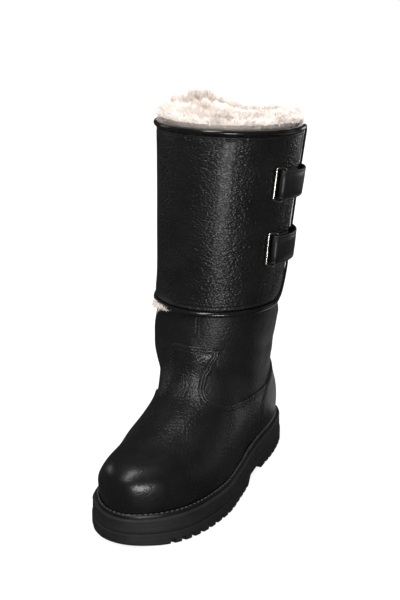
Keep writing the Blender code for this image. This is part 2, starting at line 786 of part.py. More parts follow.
def make_ring(name, level, parts, finish):
    """Rectangular wire ring: one bar inside the strap's fold, the other lying in front on the cuff."""
    back_lift = CUFF_LIFT + CUFF_WALL + 2 * GAP + STRAP_WALL + RING_WIRE
    front_lift = CUFF_LIFT + CUFF_WALL + 2 * GAP + RING_WIRE
    loop = []
    turns = ((0.0, 1.0, 0.0), (-1.0, 1.0, 1.0), (-1.0, -1.0, 2.0), (0.0, -1.0, 3.0))
    for column_at, row_at, quarter in turns:
        inward = 1.0 if column_at < 0 else -1.0
        centre = (column_at * RING_DEPTH + inward * RING_CORNER, row_at * (RING_HALF_HEIGHT - RING_CORNER))
        loop += arc_points(centre, RING_CORNER, quarter, quarter + 1.0, 4)
    points = []
    for run, rise in loop:
        share = np.clip(-run / RING_DEPTH, 0.0, 1.0)
        points.append(strap_point(run, level + rise, back_lift + (front_lift - back_lift) * share))
    add_object(name, wire_mesh(name, points, RING_WIRE, 1), parts, finish)


def fur_ring(turns, lift, rise):
    """Ring of points in the fur at a lift off the shaft and a rise over its top, less at the rear."""
    ring = surface(turns, SHAFT_TOP + min(rise, 0.0), lift)
    share = smooth(turns % 1.0, column(FUR_HEIGHTS, "turn"), column(FUR_HEIGHTS, "share"))
    ring[:, 2] += np.clip(rise, 0.0, FUR_FOOT) + max(rise - FUR_FOOT, 0.0) * share
    return ring


def make_fur(parts, tools, finish):
    """Shearling that fills the mouth of the shaft and stands above the rim, with its locks fused on."""
    rings = [fur_ring(UPPER_TURNS, lift, rise) for lift, rise in FUR_PROFILE]
    fur = add_object("fur_collar", torus_mesh("fur_collar", rings), parts, finish)
    draw = np.random.default_rng(FUR_SEED)
    work = bmesh.new()
    for k in range(FUR_LOCKS):
        turn = (k + draw.uniform(-0.3, 0.3)) / FUR_LOCKS
        lift = draw.uniform(*LOCK_LIFT)
        foot = fur_ring(np.array([turn]), lift, LOCK_FOOT)[0]
        lean = draw.uniform(*LOCK_LEAN)
        height = draw.uniform(*LOCK_HEIGHT)
        tip = fur_ring(np.array([turn]), lift + lean, LOCK_FOOT + height)[0]
        made = bmesh.ops.create_cone(
            work,
            cap_ends=True,
            segments=LOCK_SIDES,
            radius1=LOCK_RADIUS,
            radius2=LOCK_TIP_SHARE * LOCK_RADIUS,
            depth=1.0,
        )["verts"]
        for vert in made:
            share = vert.co.z + 0.5
            middle = foot + (tip - foot) * share
            vert.co = (middle + np.array([vert.co.x, vert.co.y, 0.0])) * MM
    mesh = bpy.data.meshes.new("fur_locks")
    work.to_mesh(mesh)
    work.free()
    locks = add_object("fur_locks", mesh, tools)
    cut(fur, locks, "UNION")
    fur.modifiers[-1].use_self = True


def stand_on_origin(parts, tools):
    """Hang everything on one empty, moved so that the boot stands over the origin."""
    bpy.context.view_layer.update()
    depsgraph = bpy.context.evaluated_depsgraph_get()
    corners = np.concatenate([np.array(piece.evaluated_get(depsgraph).bound_box) for piece in parts.objects])
    low, high = corners.min(axis=0), corners.max(axis=0)
    stand = bpy.data.objects.new("stand", None)
    parts.objects.link(stand)
    stand.location = (-0.5 * (low[0] + high[0]), -0.5 * (low[1] + high[1]), -low[2])
    for piece in list(parts.objects) + list(tools.objects):
        if piece is not stand:
            piece.parent = stand


def main():
    """Build every piece."""
    for old in list(bpy.data.objects):
        bpy.data.objects.remove(old)
    parts = bpy.data.collections.new("leather_boot")
    tools = bpy.data.collections.new("cutters")
    for collection in (parts, tools):
        bpy.context.scene.collection.children.link(collection)

    rubber = material("moulded_rubber", (0.018, 0.018, 0.018), 0.6)
    leather = material("pebbled_leather", (0.008, 0.008, 0.008), 0.4)
    steel = material("polished_steel", (0.55, 0.55, 0.55), 0.2, 1.0)
    shearling = material("shearling", (0.78, 0.70, 0.60), 0.95)
    board = material("insole_board", (0.55, 0.48, 0.40), 0.9)

    make_outsole(parts, tools, rubber)
    make_welt(parts, leather)
    make_insole(parts, board)
    make_upper(parts, leather)
    make_vamp(parts, tools, leather)
    make_counter(parts, tools, leather)
    make_cuff(parts, leather)
    make_piping(parts, leather)
    for place, level in STRAP_HEIGHTS.items():
        make_strap("strap_" + place, level, parts, leather)
        make_ring("ring_" + place, level, parts, steel)
    make_fur(parts, tools, shearling)
    stand_on_origin(parts, tools)


main()
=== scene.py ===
"""Looks of one left leather boot: lasted upper, sewn panels, wrap cuff, straps, rings, fur, welt and sole.

Sizes are millimetres in the boot's own frame: -Y is the toe, +X the outer side, Z is up from the floor. A
place on the upper is a turn (0 front, 0.25 outer side, 0.5 heel, 0.75 inner side), a level and a lift off it.
"""

import logging
from dataclasses import dataclass, field
from enum import Enum
from math import atan, cos, pi, radians, sin
from typing import Callable, NamedTuple, Sequence

import bpy
import numpy as np
from mathutils import Matrix, Vector, kdtree


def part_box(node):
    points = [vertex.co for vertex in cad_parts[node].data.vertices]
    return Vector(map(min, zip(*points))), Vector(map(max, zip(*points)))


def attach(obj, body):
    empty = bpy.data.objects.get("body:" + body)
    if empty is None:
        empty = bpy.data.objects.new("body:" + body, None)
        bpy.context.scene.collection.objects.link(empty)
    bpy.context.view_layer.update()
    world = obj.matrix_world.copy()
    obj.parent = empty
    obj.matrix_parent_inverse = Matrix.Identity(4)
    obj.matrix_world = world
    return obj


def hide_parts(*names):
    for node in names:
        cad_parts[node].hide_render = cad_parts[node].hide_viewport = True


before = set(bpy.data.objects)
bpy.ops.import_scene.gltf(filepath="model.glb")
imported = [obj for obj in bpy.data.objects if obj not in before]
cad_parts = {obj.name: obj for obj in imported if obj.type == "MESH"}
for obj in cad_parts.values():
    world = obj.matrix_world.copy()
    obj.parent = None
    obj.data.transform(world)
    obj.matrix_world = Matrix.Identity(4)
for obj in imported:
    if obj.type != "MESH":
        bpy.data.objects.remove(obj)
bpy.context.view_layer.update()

Array = np.ndarray
Span = tuple[float, float]
Triple = tuple[float, float, float]
Tree = bpy.types.NodeTree
Node = bpy.types.Node
Socket = bpy.types.NodeSocket
LOG = logging.getLogger("leather_boot")

MM = 0.001
UP = np.array((0.0, 0.0, 1.0))
BODY = "root"

# Clearance between neighbouring solids.
GAP = 0.35


class Station(NamedTuple):
    """Half widths of the sole at a place along it."""

    along: float
    outer: float
    inner: float


class Leg(NamedTuple):
    """Reach of the leg's oval at a level."""

    level: float
    front: float
    back: float
    outer: float
    inner: float


class Pair(NamedTuple):
    """One point of a pattern line; the table's comment says what it measures."""

    first: float
    second: float


class WallRow(NamedTuple):
    """Row of points round the sole's wall: inset, share of the wall's height and rise over that."""

    inset: float
    share: float
    rise: float = 0.0


class Crease(NamedTuple):
    """Soft trough (negative) or ridge (positive) between two places on the leather."""

    turn_a: float
    level_a: float
    turn_b: float
    level_b: float
    width: float
    rise: float


def table(kind: type, *rows: Sequence[float]) -> tuple:
    """Rows of numbers as named rows of one kind."""
    return tuple(kind(*row) for row in rows)


SHAFT_TOP = 318.0
HEM = 163.0

OUTLINE = table(
    Station,
    (145, 2.5, 2.5), (139, 18.5, -13.5), (128, 29.5, -25), (112, 36.8, -32.5), (95, 40.6, -36.5),
    (72, 43.4, -38.5), (48, 44.4, -37), (18, 46.8, -35), (-17, 51.6, -44), (-52, 54.8, -53.8),
    (-84, 51.3, -55.3), (-110, 43, -51.2), (-128, 30.5, -41), (-140, 15.5, -28.5),
    (-147.5, -6.5, -6.5),
)

# Level, and the vamp's foremost point there.
RIDGE = table(
    Pair,
    (24, -139), (38, -141.8), (54, -141), (61, -135), (67, -122.5), (71, -107),
    (74.5, -89), (78.5, -71), (84, -55), (92, -41), (102, -30.5), (112, -24),
    (123, -19.8), (135, -17), (148, -13.8), (165, 0), (180, 20),
)

LEG = table(
    Leg,
    (24, 10, 136, 22, 24),
    (45, 0, 137, 29, 34),
    (65, -7, 129, 34.5, 44.5),
    (85, -11.5, 114.5, 39.5, 53),
    (105, -14.5, 105, 43.2, 59),
    (125, -15.8, 103, 46.4, 60.6),
    (145, -14.5, 104.5, 49.4, 58.4),
    (HEM, -11.5, 106.5, 51.8, 55.8),
    (240, -5, 121, 56.2, 58.4),
    (SHAFT_TOP, 1, 138.5, 62.5, 62.4),
)

# Share of the way from the sole's edge to the upper, and rise of the welt over the sole.
WELT_PROFILE = table(
    Pair,
    (0, 0.15), (0, 1.1), (0.08, 2.2), (0.2, 2.9), (0.30, 2.95), (0.36, 2.75), (0.42, 2.95), (0.52, 3.3),
    (0.62, 3.2), (0.72, 2.4), (0.80, 1.3), (0.90, 1), (1, 1.2),
)

# Run along a strap from its fold, and how far it stands off the cuff there.
STRAP_BOW = table(Pair, (0, 5.7), (22, 4.8), (51, 3.8), (84, 3.6), (99, 0.2), (112, 0))

# Lift off the shaft and rise above its top, round the section of the wool roll.
FUR_PROFILE = table(
    Pair,
    (-2.85, -26), (-2.85, 0), (-2.85, 8), (1.5, 10.5), (2, 15), (-2, 19), (-9, 21),
    (-16, 18), (-20, 8), (-18, -12), (-11, -25),
)

# Turn, and share of the fur's full height over its foot there.
FUR_HEIGHTS = table(
    Pair, (0, 0.70), (0.2, 0.68), (0.38, 0.42), (0.52, 0.15), (0.68, 1), (0.82, 0.62), (1, 0.70)
)

# Place along the boot and height, seen from the side.
COUNTER_EDGE = table(
    Pair,
    (45, 26), (45, 35), (45, 48), (46, 60), (49.5, 70), (55, 78.5), (66, 86),
    (84, 94), (100, 97.6),
)
VAMP_SEAM = table(Pair, (57.6, 81.3), (40, 80.8), (14, 81.6), (-12, 85), (-24, 87.5))

# Edge of the tab across the boot and its height, seen from the front: outer side, then inner side.
TAB_OUTER = table(
    Pair,
    (27.6, 90.7), (22, 95.5), (18.3, 102), (17.8, 110), (20, 118), (23.2, 127), (23.6, 132),
    (21, 135), (12, 136.2),
)
TAB_INNER = table(
    Pair,
    (-30.6, 90.7), (-25, 95.5), (-21.1, 102), (-20.3, 110), (-20.7, 118), (-21.5, 127),
    (-21.1, 132.5), (-18.5, 135.2), (-9.5, 136.6),
)

# Soft breaks where the leather bends at the ankle and behind the toes.
ANKLE_CREASES = table(
    Crease,
    (0.08, 117, 0.20, 103, 6, -0.8),
    (0.11, 134, 0.27, 122, 8, -0.7),
    (0.30, 124, 0.45, 110, 8, -0.8),
    (0.17, 92, 0.24, 86, 9, 0.5),
    (-0.10, 124, -0.12, 104, 12, 1.8),
    (-0.11, 134, -0.27, 122, 8, -0.7),
    (-0.30, 124, -0.45, 110, 8, -0.8),
    (-0.03, 84, 0.09, 84, 22, 3.4),
    (-0.05, 72.8, 0.09, 72.8, 14, -2),
    (0.325, 150, 0.33, 120, 17, 3.6),
    (0.40, 94, 0.44, 70, 17, -2.8),
    (-0.105, 57, -0.15, 62.5, 11, -2.4),
    (-0.08, 42, -0.105, 42, 9, 1.6),
)
CUFF_CREASES = table(
    Crease,
    (0.287, 300, 0.272, 285, 5, 0.9),
    (0.268, 262, 0.262, 228, 6, 0.8),
    (0.245, 205, 0.215, 186, 10, -0.9),
    (0.02, 300, 0.04, 200, 16, 0.6),
    (0.80, 290, 0.84, 190, 18, -0.7),
    (0.62, 290, 0.60, 200, 16, 0.6),
)

# Levels where the ankle's breaks begin over the welt and end under the cuff, and turns off the heel's middle.
BREAKS_BEGIN = (30.0, 50.0)
BREAKS_END = (HEM - 14.0, HEM + 2.0)
BREAKS_OFF_HEEL = (0.02, 0.07)

# Height and width of the waves in leather that was pulled over the last by hand.
HAND_WAVE = (0.12, 30.0)


def smooth(x: Array, knots: Sequence[float], values: Sequence[float]) -> Array:
    """Cubic through knots that never overshoots them.

    Args:
        x: Places to read the curve at.
        knots: Rising places of the knots.
        values: Value at each knot.

    Returns:
        The curve's values, held at its ends.
    """
    knots = np.asarray(knots, float)
    values = np.asarray(values, float)
    step = np.diff(knots)
    slope = np.diff(values) / step
    same_way = slope[:-1] * slope[1:] > 0
    before = np.where(same_way, slope[:-1], 1.0)
    after = np.where(same_way, slope[1:], 1.0)
    weight = (2 * step[1:] + step[:-1], step[1:] + 2 * step[:-1])
    inner = (weight[0] + weight[1]) / (weight[0] / before + weight[1] / after)
    tangent = np.concatenate([slope[:1], np.where(same_way, inner, 0.0), slope[-1:]])
    i = np.clip(np.searchsorted(knots, x) - 1, 0, len(step) - 1)
    u = np.clip((x - knots[i]) / step[i], 0.0, 1.0)
    start = values[i] * (1 + 2 * u) + tangent[i] * step[i] * u
    end = values[i + 1] * (3 - 2 * u) + tangent[i + 1] * step[i] * (u - 1)
    return start * (1 - u) ** 2 + end * u**2


def column(rows: Sequence[NamedTuple], name: str) -> list[float]:
    """One named column of a table of rows."""
    return [getattr(row, name) for row in rows]


def read(pairs: Sequence[Pair], x: Array) -> Array:
    """Second values of a table of pairs, read smoothly at first values."""
    return smooth(x, column(pairs, "first"), column(pairs, "second"))


def ease(x: Array, low: float, high: float) -> Array:
    """Soft step from 0 at low to 1 at high."""
    u = np.clip((x - low) / (high - low), 0.0, 1.0)
    return u * u * (3 - 2 * u)


def swell(x: Array, middle: float, width: float) -> Array:
    """Bell of height 1 round a middle."""
    return np.exp(-(((x - middle) / width) ** 2))


def unit(vectors: Array) -> Array:
    """Vectors brought to length 1."""
    return vectors / np.maximum(np.linalg.norm(vectors, axis=-1, keepdims=True), 1e-9)


def soft_max(a: Array, b: Array, reach: float) -> Array:
    """Larger of two half widths, rounded where they differ by less than a reach, nil where both are nil."""
    reach = np.maximum(np.minimum(reach, np.minimum(a, b)), 1e-6)
    return np.maximum(a, b) + np.maximum(reach - np.abs(a - b), 0.0) ** 2 / (4 * reach)


def turned_edge(distance: Array, radius: float) -> Array:
    """Share of a panel's full height at distances from its edge, which is turned over to a radius."""
    return np.sqrt(np.clip(1 - (1 - np.clip(distance / radius, 0, 1)) ** 2, 0, 1))


def travelled(points: Array) -> Array:
    """Distance gone along a line at each of its points."""
    return np.concatenate([[0.0], np.cumsum(np.linalg.norm(np.diff(points, axis=0), axis=1))])


def evenly(points: Array, count: int) -> Array:
    """Points along a line with even distances between them.

    Args:
        points: Corners of the line.
        count: Number of new points.

    Returns:
        The new points, from the line's first point to its last.
    """
    run = travelled(points)
    places = np.linspace(0.0, run[-1], count)
    return np.stack([np.interp(places, run, points[:, k]) for k in range(points.shape[1])], -1)


def paced(points: Array, pitch: float) -> Array:
    """Points along a line, a pitch apart, rounded to fill the line."""
    count = max(int(round(travelled(points)[-1] / pitch)), 1)
    return evenly(points, count + 1)


def curve_through(points: Array, scale: Span, count: int) -> Array:
    """Smooth line through points of a pattern.

    Args:
        points: Places as turn and level.
        scale: Millimetres of one unit of each.
        count: Number of points on the line.

    Returns:
        The line's points.
    """
    points = np.asarray(points, float)
    run = travelled(points * np.asarray(scale))
    places = np.linspace(0.0, run[-1], count)
    return np.stack([smooth(places, run, points[:, k]) for k in range(2)], -1)


def quarter_arc(centre: Span, radius: float, start: float, count: int) -> list[Span]:
    """Quarter circle of a corner as a number of points, from a first angle in quarter turns."""
    angles = np.linspace(start, start + 1.0, count) * pi / 2
    return [(centre[0] + radius * cos(a), centre[1] + radius * sin(a)) for a in angles]


def finder(points: Array) -> Callable[[Array], Array]:
    """Search for the nearest of some points.

    Args:
        points: Points to search among.

    Returns:
        Function that gives the number of the point nearest to each of its places.
    """
    tree = kdtree.KDTree(len(points))
    for number, point in enumerate(points):
        tree.insert(point, number)
    tree.balance()
    return lambda places: np.array([tree.find(place)[1] for place in places])


def always(way: Sequence[float]) -> Callable[[Array], Array]:
    """Direction that is the same at all points."""
    return lambda points: np.tile(way, (len(points), 1))


@dataclass(frozen=True)
class SoleForm:
    """Plan and heights of the sole."""

    half: float = 146.25
    middle: float = -1.25
    toe: float = -147.5
    toe_height: float = 25.0
    heel_height: float = 28.5
    slope_start: float = -40.0
    slope_end: float = 70.0
    spring: float = 2.0
    spring_start: float = -118.0
    arch: float = 7.0
    arch_front: float = 4.0
    arch_run: float = 8.0
    breast: float = 46.0
    breast_run: float = 4.0
    plan_step: float = 0.02

    def angle_of(self, y: Array) -> Array:
        """Angle round the sole of a place along its outer side."""
        return np.arccos((np.asarray(y) - self.middle) / self.half)

    def edge(self, angle: Array) -> Array:
        """Plan points on the sole's edge.

        Args:
            angle: 0 at the heel's end, pi at the toe, 0 to pi on the outer side.

        Returns:
            Points as x and y.
        """
        angle = np.asarray(angle, float)
        bend = np.arccos(np.clip(np.cos(angle), -1.0, 1.0))
        knots = self.angle_of(column(OUTLINE, "along"))
        outer = smooth(bend, knots, column(OUTLINE, "outer"))
        inner = smooth(bend, knots, column(OUTLINE, "inner"))
        x = np.where(np.sin(angle) >= 0, outer, inner)
        return np.stack([x, self.middle + self.half * np.cos(bend)], -1)

    def inset(self, angle: Array, depth: Array) -> Array:
        """Plan points inside the sole's edge.

        Args:
            angle: Angles round the sole.
            depth: Distance in from the edge.

        Returns:
            Points as x and y.
        """
        ahead, behind = np.asarray(angle) + self.plan_step, np.asarray(angle) - self.plan_step
        along = self.edge(ahead) - self.edge(behind)
        inward = unit(np.stack([along[..., 1], -along[..., 0]], -1))
        return self.edge(angle) + np.asarray(depth)[..., None] * inward

    def top(self, y: Array) -> Array:
        """Height of the sole's top edge."""
        rise = self.heel_height - self.toe_height
        return self.toe_height + rise * ease(y, self.slope_start, self.slope_end)

    def bottom(self, y: Array) -> Array:
        """Height of the sole's underside, with toe spring, waist arch and heel.

        Args:
            y: Places along the boot.

        Returns:
            Heights.
        """
        spring = self.spring * np.clip((self.spring_start - y) / (self.spring_start - self.toe), 0, 1) ** 2
        rise = np.clip((y - self.arch_front) / self.arch_run, 0, 1)
        fall = np.clip((self.breast - y) / self.breast_run, 0, 1)
        return spring + self.arch * np.minimum(rise, fall)


SOLE = SoleForm()


@dataclass
class LastForm:
    """Outside of the lasted foot and its shaft."""

    wall: float = 2.5
    feather_inset: float = 8.0
    feather_points: int = 361
    rim_tilt: float = 0.08
    tilt_start: float = 165.0
    slope_end: float = 75.0
    arch_power: float = 2.4
    toe_middle: float = -95.0
    toe_blend: Span = (-116.0, -80.0)
    bulge: float = 0.045
    bulge_height: float = 50.0
    ridge_shift: float = -1.0
    roof: Span = (54.0, 165.0)
    roof_points: int = 300
    join_reach: float = 20.0
    throat: Span = (95.0, 150.0)
    centring: Span = (60.0, 140.0)
    girth: float = 375.0
    turn_step: float = 0.002
    level_step: float = 0.4
    grid_columns: int = 240
    grid_rows: int = 230
    grid_levels: Span = (20.0, 326.0)
    relaxing: int = 60
    relax_start: Span = (30.0, 44.0)
    relax_end: Span = (150.0, 166.0)
    heel_turns: Span = (0.40, 0.60)
    heel_start: Span = (32.0, 48.0)
    heel_end: Span = (135.0, 160.0)
    heel_bow: float = 0.08
    heel_passes: int = 40

    def __post_init__(self) -> None:
        """Read the feather line and the vamp's roof once, and relax the form."""
        self.feather = SOLE.toe_height + GAP
        self.angles = np.linspace(0.0, pi, self.feather_points)
        self.outer = SOLE.inset(self.angles, self.feather_inset)[:, 0]
        self.inner = SOLE.inset(-self.angles, self.feather_inset)[:, 0]
        self.half = SOLE.half - self.feather_inset
        self.roof_levels = np.linspace(*self.roof, self.roof_points)
        self.roof_fronts = read(RIDGE, self.roof_levels)
        self.rows = self.levels(*self.grid_levels, self.grid_rows)
        self.grid = self.relax()

    def leg_at(self, level: Array, name: str) -> Array:
        """One of the leg's sizes at a level."""
        return smooth(level, column(LEG, "level"), column(LEG, name))

    def front_at(self, level: Array) -> Array:
        """Foremost point of the upper at a level."""
        return np.minimum(read(RIDGE, level), self.leg_at(level, "front"))

    def relax(self) -> Array:
        """Relax a grid of points on the form, as wet leather does, so that foot and leg flow together.

        Returns:
            Points by row and column.
        """
        turns = np.arange(self.grid_columns) / self.grid_columns
        grid = self.round_heel(self.form(turns, self.rows[:, None]))
        pull = 0.5 * ease(self.rows, *self.relax_start) * (1 - ease(self.rows, *self.relax_end))
        for _ in range(self.relaxing):
            before, after = np.roll(grid, 1, axis=1), np.roll(grid, -1, axis=1)
            below, above = np.concatenate([grid[:1], grid[:-1]]), np.concatenate([grid[1:], grid[-1:]])
            out = unit(np.cross(after - before, above - below))
            bow = np.sum((0.25 * (before + after + below + above) - grid) * out, axis=-1)
            grid = grid + out * (pull[:, None] * bow)[..., None]
        return grid

    def round_heel(self, grid: Array) -> Array:
        """Bow the back of the heel and round its corners, as a moulded counter does.

        Args:
            grid: Points by row and column.

        Returns:
            Points spaced evenly round the back of the heel.
        """
        first, last = (int(round(turn * self.grid_columns)) for turn in self.heel_turns)
        shares = ease(self.rows, *self.heel_start) * (1 - ease(self.rows, *self.heel_end))
        middle = (last - first) // 2
        for row, share in enumerate(shares):
            arc = grid[row, first : last + 1]
            even = evenly(arc, len(arc))
            outer, inner = arc[middle, 0], arc[middle + 1, 0]
            flat = max(0.5 * (outer - inner), 1.0)
            off_middle = (even[:, 0] - 0.5 * (outer + inner)) / flat
            even[:, 1] += self.heel_bow * flat * np.clip(1 - off_middle**2, 0.0, 1.0)
            for _ in range(self.heel_passes):
                even[1:-1] = 0.5 * even[1:-1] + 0.25 * (even[:-2] + even[2:])
            grid[row, first : last + 1] = arc + share * (even - arc)
        return grid

    def skin(self, turn: Array, level: Array) -> Array:
        """Points on the outside of the upper, read smoothly from the relaxed grid.

        Args:
            turn: Turns round the boot.
            level: Levels up the boot.

        Returns:
            Points as x, y and z.
        """
        turn, level = np.broadcast_arrays(np.asarray(turn, float), np.asarray(level, float))
        across = (turn % 1.0) * self.grid_columns
        upward = np.interp(level, self.rows, np.arange(self.grid_rows))
        col = np.floor(across).astype(int)
        row = np.clip(np.floor(upward).astype(int), 1, self.grid_rows - 3)
        weights = []
        for u in (across - col, upward - row):
            weights.append(((1 - u) ** 3, 3 * u**3 - 6 * u**2 + 4, -3 * u**3 + 3 * u**2 + 3 * u + 1, u**3))
        points = np.zeros((*turn.shape, 3))
        for i, share_across in enumerate(weights[0]):
            for k, share_up in enumerate(weights[1]):
                spot = self.grid[row + k - 1, (col + i - 1) % self.grid_columns]
                points += (share_across * share_up / 36.0)[..., None] * spot
        return points

    def form(self, turn: Array, level: Array) -> Array:
        """Points on the form of the last and its leg, before it is relaxed.

        Args:
            turn: Turns round the boot.
            level: Levels up the boot.

        Returns:
            Points as x, y and z.
        """
        turn, level = np.broadcast_arrays(np.asarray(turn, float), np.asarray(level, float))
        front = self.front_at(level)
        back = self.leg_at(level, "back")
        middle = 0.5 * (front + back)
        y = middle - 0.5 * (back - front) * np.cos(2 * pi * turn)

        toe = np.maximum((self.toe_middle - front) / (self.toe_middle - SOLE.middle + self.half), 1e-3)
        away = np.where(y < self.toe_middle, self.toe_middle - (self.toe_middle - y) / toe, y) - SOLE.middle
        reach = np.where(away < 0, self.half, np.maximum(back - SOLE.middle, self.half))
        angle = np.arccos(np.clip(away / reach, -1.0, 1.0))
        outer = np.interp(angle, self.angles, self.outer)
        inner = np.interp(angle, self.angles, self.inner)
        roof = np.interp(y, self.roof_fronts, self.roof_levels)
        rise = np.clip((level - SOLE.toe_height) / (roof - SOLE.toe_height), 0.0, 1.0)
        arch = (1 - rise**self.arch_power) ** (1 / self.arch_power)
        swelling = np.sin(pi * np.clip((level - SOLE.toe_height) / self.bulge_height, 0.0, 1.0))
        fullness = toe + (arch * (1 + self.bulge * swelling) - toe) * ease(y, *self.toe_blend)
        foot = 0.5 * (outer - inner) * fullness * (1 - ease(level, *self.throat))

        leg_front = self.leg_at(level, "front")
        share = (y - 0.5 * (leg_front + back)) / (0.5 * (back - leg_front))
        side = np.where(np.sin(2 * pi * turn) >= 0, 1.0, -1.0)
        leg_half = np.where(side > 0, self.leg_at(level, "outer"), self.leg_at(level, "inner"))
        leg = leg_half * np.sqrt(np.clip(1 - share**2, 0.0, None))

        centre = (0.5 * (outer + inner) + self.ridge_shift * rise**2) * (1 - ease(level, *self.centring))
        x = centre + side * soft_max(foot, leg, self.join_reach)
        slope = (SOLE.top(y) - SOLE.toe_height) * (1 - ease(level, SOLE.toe_height, self.slope_end))
        tilt = self.rim_tilt * np.clip((level - self.tilt_start) / (SHAFT_TOP - self.tilt_start), 0.0, None)
        return np.stack([x, y, level + slope - tilt * (y - middle)], -1)

    def normal(self, turn: Array, level: Array) -> Array:
        """Directions straight out of the upper.

        Args:
            turn: Turns round the boot.
            level: Levels up the boot.

        Returns:
            Unit vectors.
        """
        across = self.skin(turn + self.turn_step, level) - self.skin(turn - self.turn_step, level)
        upward = self.skin(turn, level + self.level_step) - self.skin(turn, level - self.level_step)
        return unit(np.cross(across, upward))

    def surface(self, turn: Array, level: Array, lift: Array) -> Array:
        """Points at turns and levels on the leather, or lifted off it along its normal."""
        turn, level, lift = np.broadcast_arrays(*(np.asarray(each, float) for each in (turn, level, lift)))
        return self.skin(turn, level) + lift[..., None] * self.normal(turn, level)

    def levels(self, low: float, high: float, count: int) -> Array:
        """Levels spaced evenly along the front of the upper.

        Args:
            low: First level.
            high: Last level.
            count: Number of levels.

        Returns:
            The levels.
        """
        fine = np.linspace(low, high, 800)
        steps = np.hypot(np.diff(self.front_at(fine)), np.diff(fine))
        run = np.concatenate([[0.0], np.cumsum(steps)])
        return np.interp(np.linspace(0.0, run[-1], count), run, fine)

    def from_side(self, along: float, height: float) -> tuple[float, float]:
        """Turn and level of a place on the outer side.

        Args:
            along: Place along the boot.
            height: Height over the floor.

        Returns:
            Turn and level.
        """
        level = np.array(height, float)
        for _ in range(30):
            slope = (SOLE.top(along) - SOLE.toe_height) * (1 - ease(level, SOLE.toe_height, self.slope_end))
            level = 0.5 * (level + height - slope)
        front, back = self.front_at(level), self.leg_at(level, "back")
        share = np.clip((0.5 * (front + back) - along) / (0.5 * (back - front)), -1.0, 1.0)
        return float(np.arccos(share) / (2 * pi)), float(level)

    def from_front(self, across: float, height: float) -> tuple[float, float]:
        """Turn and level of a place seen from the front.

        Args:
            across: Place across the boot.
            height: Height over the floor, above the sole's slope.

        Returns:
            Turn and level, the turn negative on the inner side.
        """
        turns = np.linspace(-0.2, 0.2, 801)
        widths = self.skin(turns, height)[:, 0]
        return float(np.interp(across, widths, turns)), height


LAST = LastForm()


def own_shift() -> Array:
    """Move from the boot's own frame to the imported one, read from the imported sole's box.

    Returns:
        Shift in millimetres.
    """
    low, high = (np.array(corner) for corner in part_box("outsole"))
    plan = SOLE.edge(np.linspace(0.0, 2 * pi, 2001))
    middle = 0.5 * (plan.min(axis=0) + plan.max(axis=0))
    return np.append(0.5 * (low + high)[:2] / MM - middle, 0.0)


SHIFT = own_shift()


def srgb(code: str) -> tuple[float, float, float, float]:
    """Linear colour of an sRGB hex code."""
    parts = [int(code[k : k + 2], 16) / 255 for k in (1, 3, 5)]
    return (*(p / 12.92 if p <= 0.04045 else ((p + 0.055) / 1.055) ** 2.4 for p in parts), 1.0)


def feed(tree: Tree, node: Node, inputs: dict) -> None:
    """Set or link the inputs of a node.

    Args:
        tree: Node tree that it is in.
        node: The node.
        inputs: Constant or output socket for each input, by name or number.
    """
    for name, value in inputs.items():
        if isinstance(value, Socket):
            tree.links.new(value, node.inputs[name])
        else:
            node.inputs[name].default_value = value


def add_node(
    tree: Tree, kind: str, output: str | int, inputs: dict | None = None, **settings: object
) -> Socket:
    """Add a shader node.

    Args:
        tree: Node tree it goes into.
        kind: Blender's name of the node, after its common beginning.
        output: Name or number of the output to take.
        inputs: Constant or output socket for each input, by name or number.
        settings: The node's own options.

    Returns:
        The output.
    """
    node = tree.nodes.new("ShaderNode" + kind)
    for name, value in settings.items():
        setattr(node, name, value)
    feed(tree, node, inputs or {})
    return node.outputs[output]


def set_stops(ramp: Node, *stops: tuple[float, str]) -> None:
    """Give a colour ramp its stops.

    Args:
        ramp: The ramp.
        stops: Place and colour of each stop.
    """
    for element, (place, code) in zip(ramp.color_ramp.elements, stops):
        element.position = place
        element.color = srgb(code)


def cells_per_metre(size: float) -> float:
    """Pattern scale for a feature of a size in millimetres."""
    return 1.0 / (size * MM)


def sized(where: Socket, size: float, **more: float) -> dict:
    """Inputs of a pattern whose features have a size in millimetres."""
    return {"Vector": where, "Scale": cells_per_metre(size), **more}


@dataclass(frozen=True)
class Finish:
    """A real material and how its surface was made."""

    name: str
    colour: str
    shade: str
    roughness: float

    def material(self) -> bpy.types.Material:
        """The finish as a material, made once.

        Returns:
            The material.
        """
        made = bpy.data.materials.get(self.name)
        if made:
            return made
        made = bpy.data.materials.new(self.name)
        made.use_nodes = True
        made.diffuse_color = srgb(self.colour)
        tree = made.node_tree
        where = add_node(tree, "TexCoord", "Object")
        feed(tree, tree.nodes["Principled BSDF"], self.dress(tree, where))
        return made

    def dress(self, tree: Tree, where: Socket) -> dict:
        """Inputs of the shader, from the finish's own nodes; each kind of finish has its way."""
        raise NotImplementedError

    def tone(self, tree: Tree, where: Socket, size: float) -> Socket:
        """Slow drift between the finish's two colours.

        Args:
            tree: Node tree.
            where: Object coordinates.
            size: Width of a patch in millimetres.

        Returns:
            The colour.
        """
        patches = add_node(tree, "TexNoise", "Fac", sized(where, size, Detail=4.0))
        blend = add_node(tree, "ValToRGB", "Color", {"Fac": patches})
        set_stops(blend.node, (0.32, self.shade), (0.68, self.colour))
        return blend


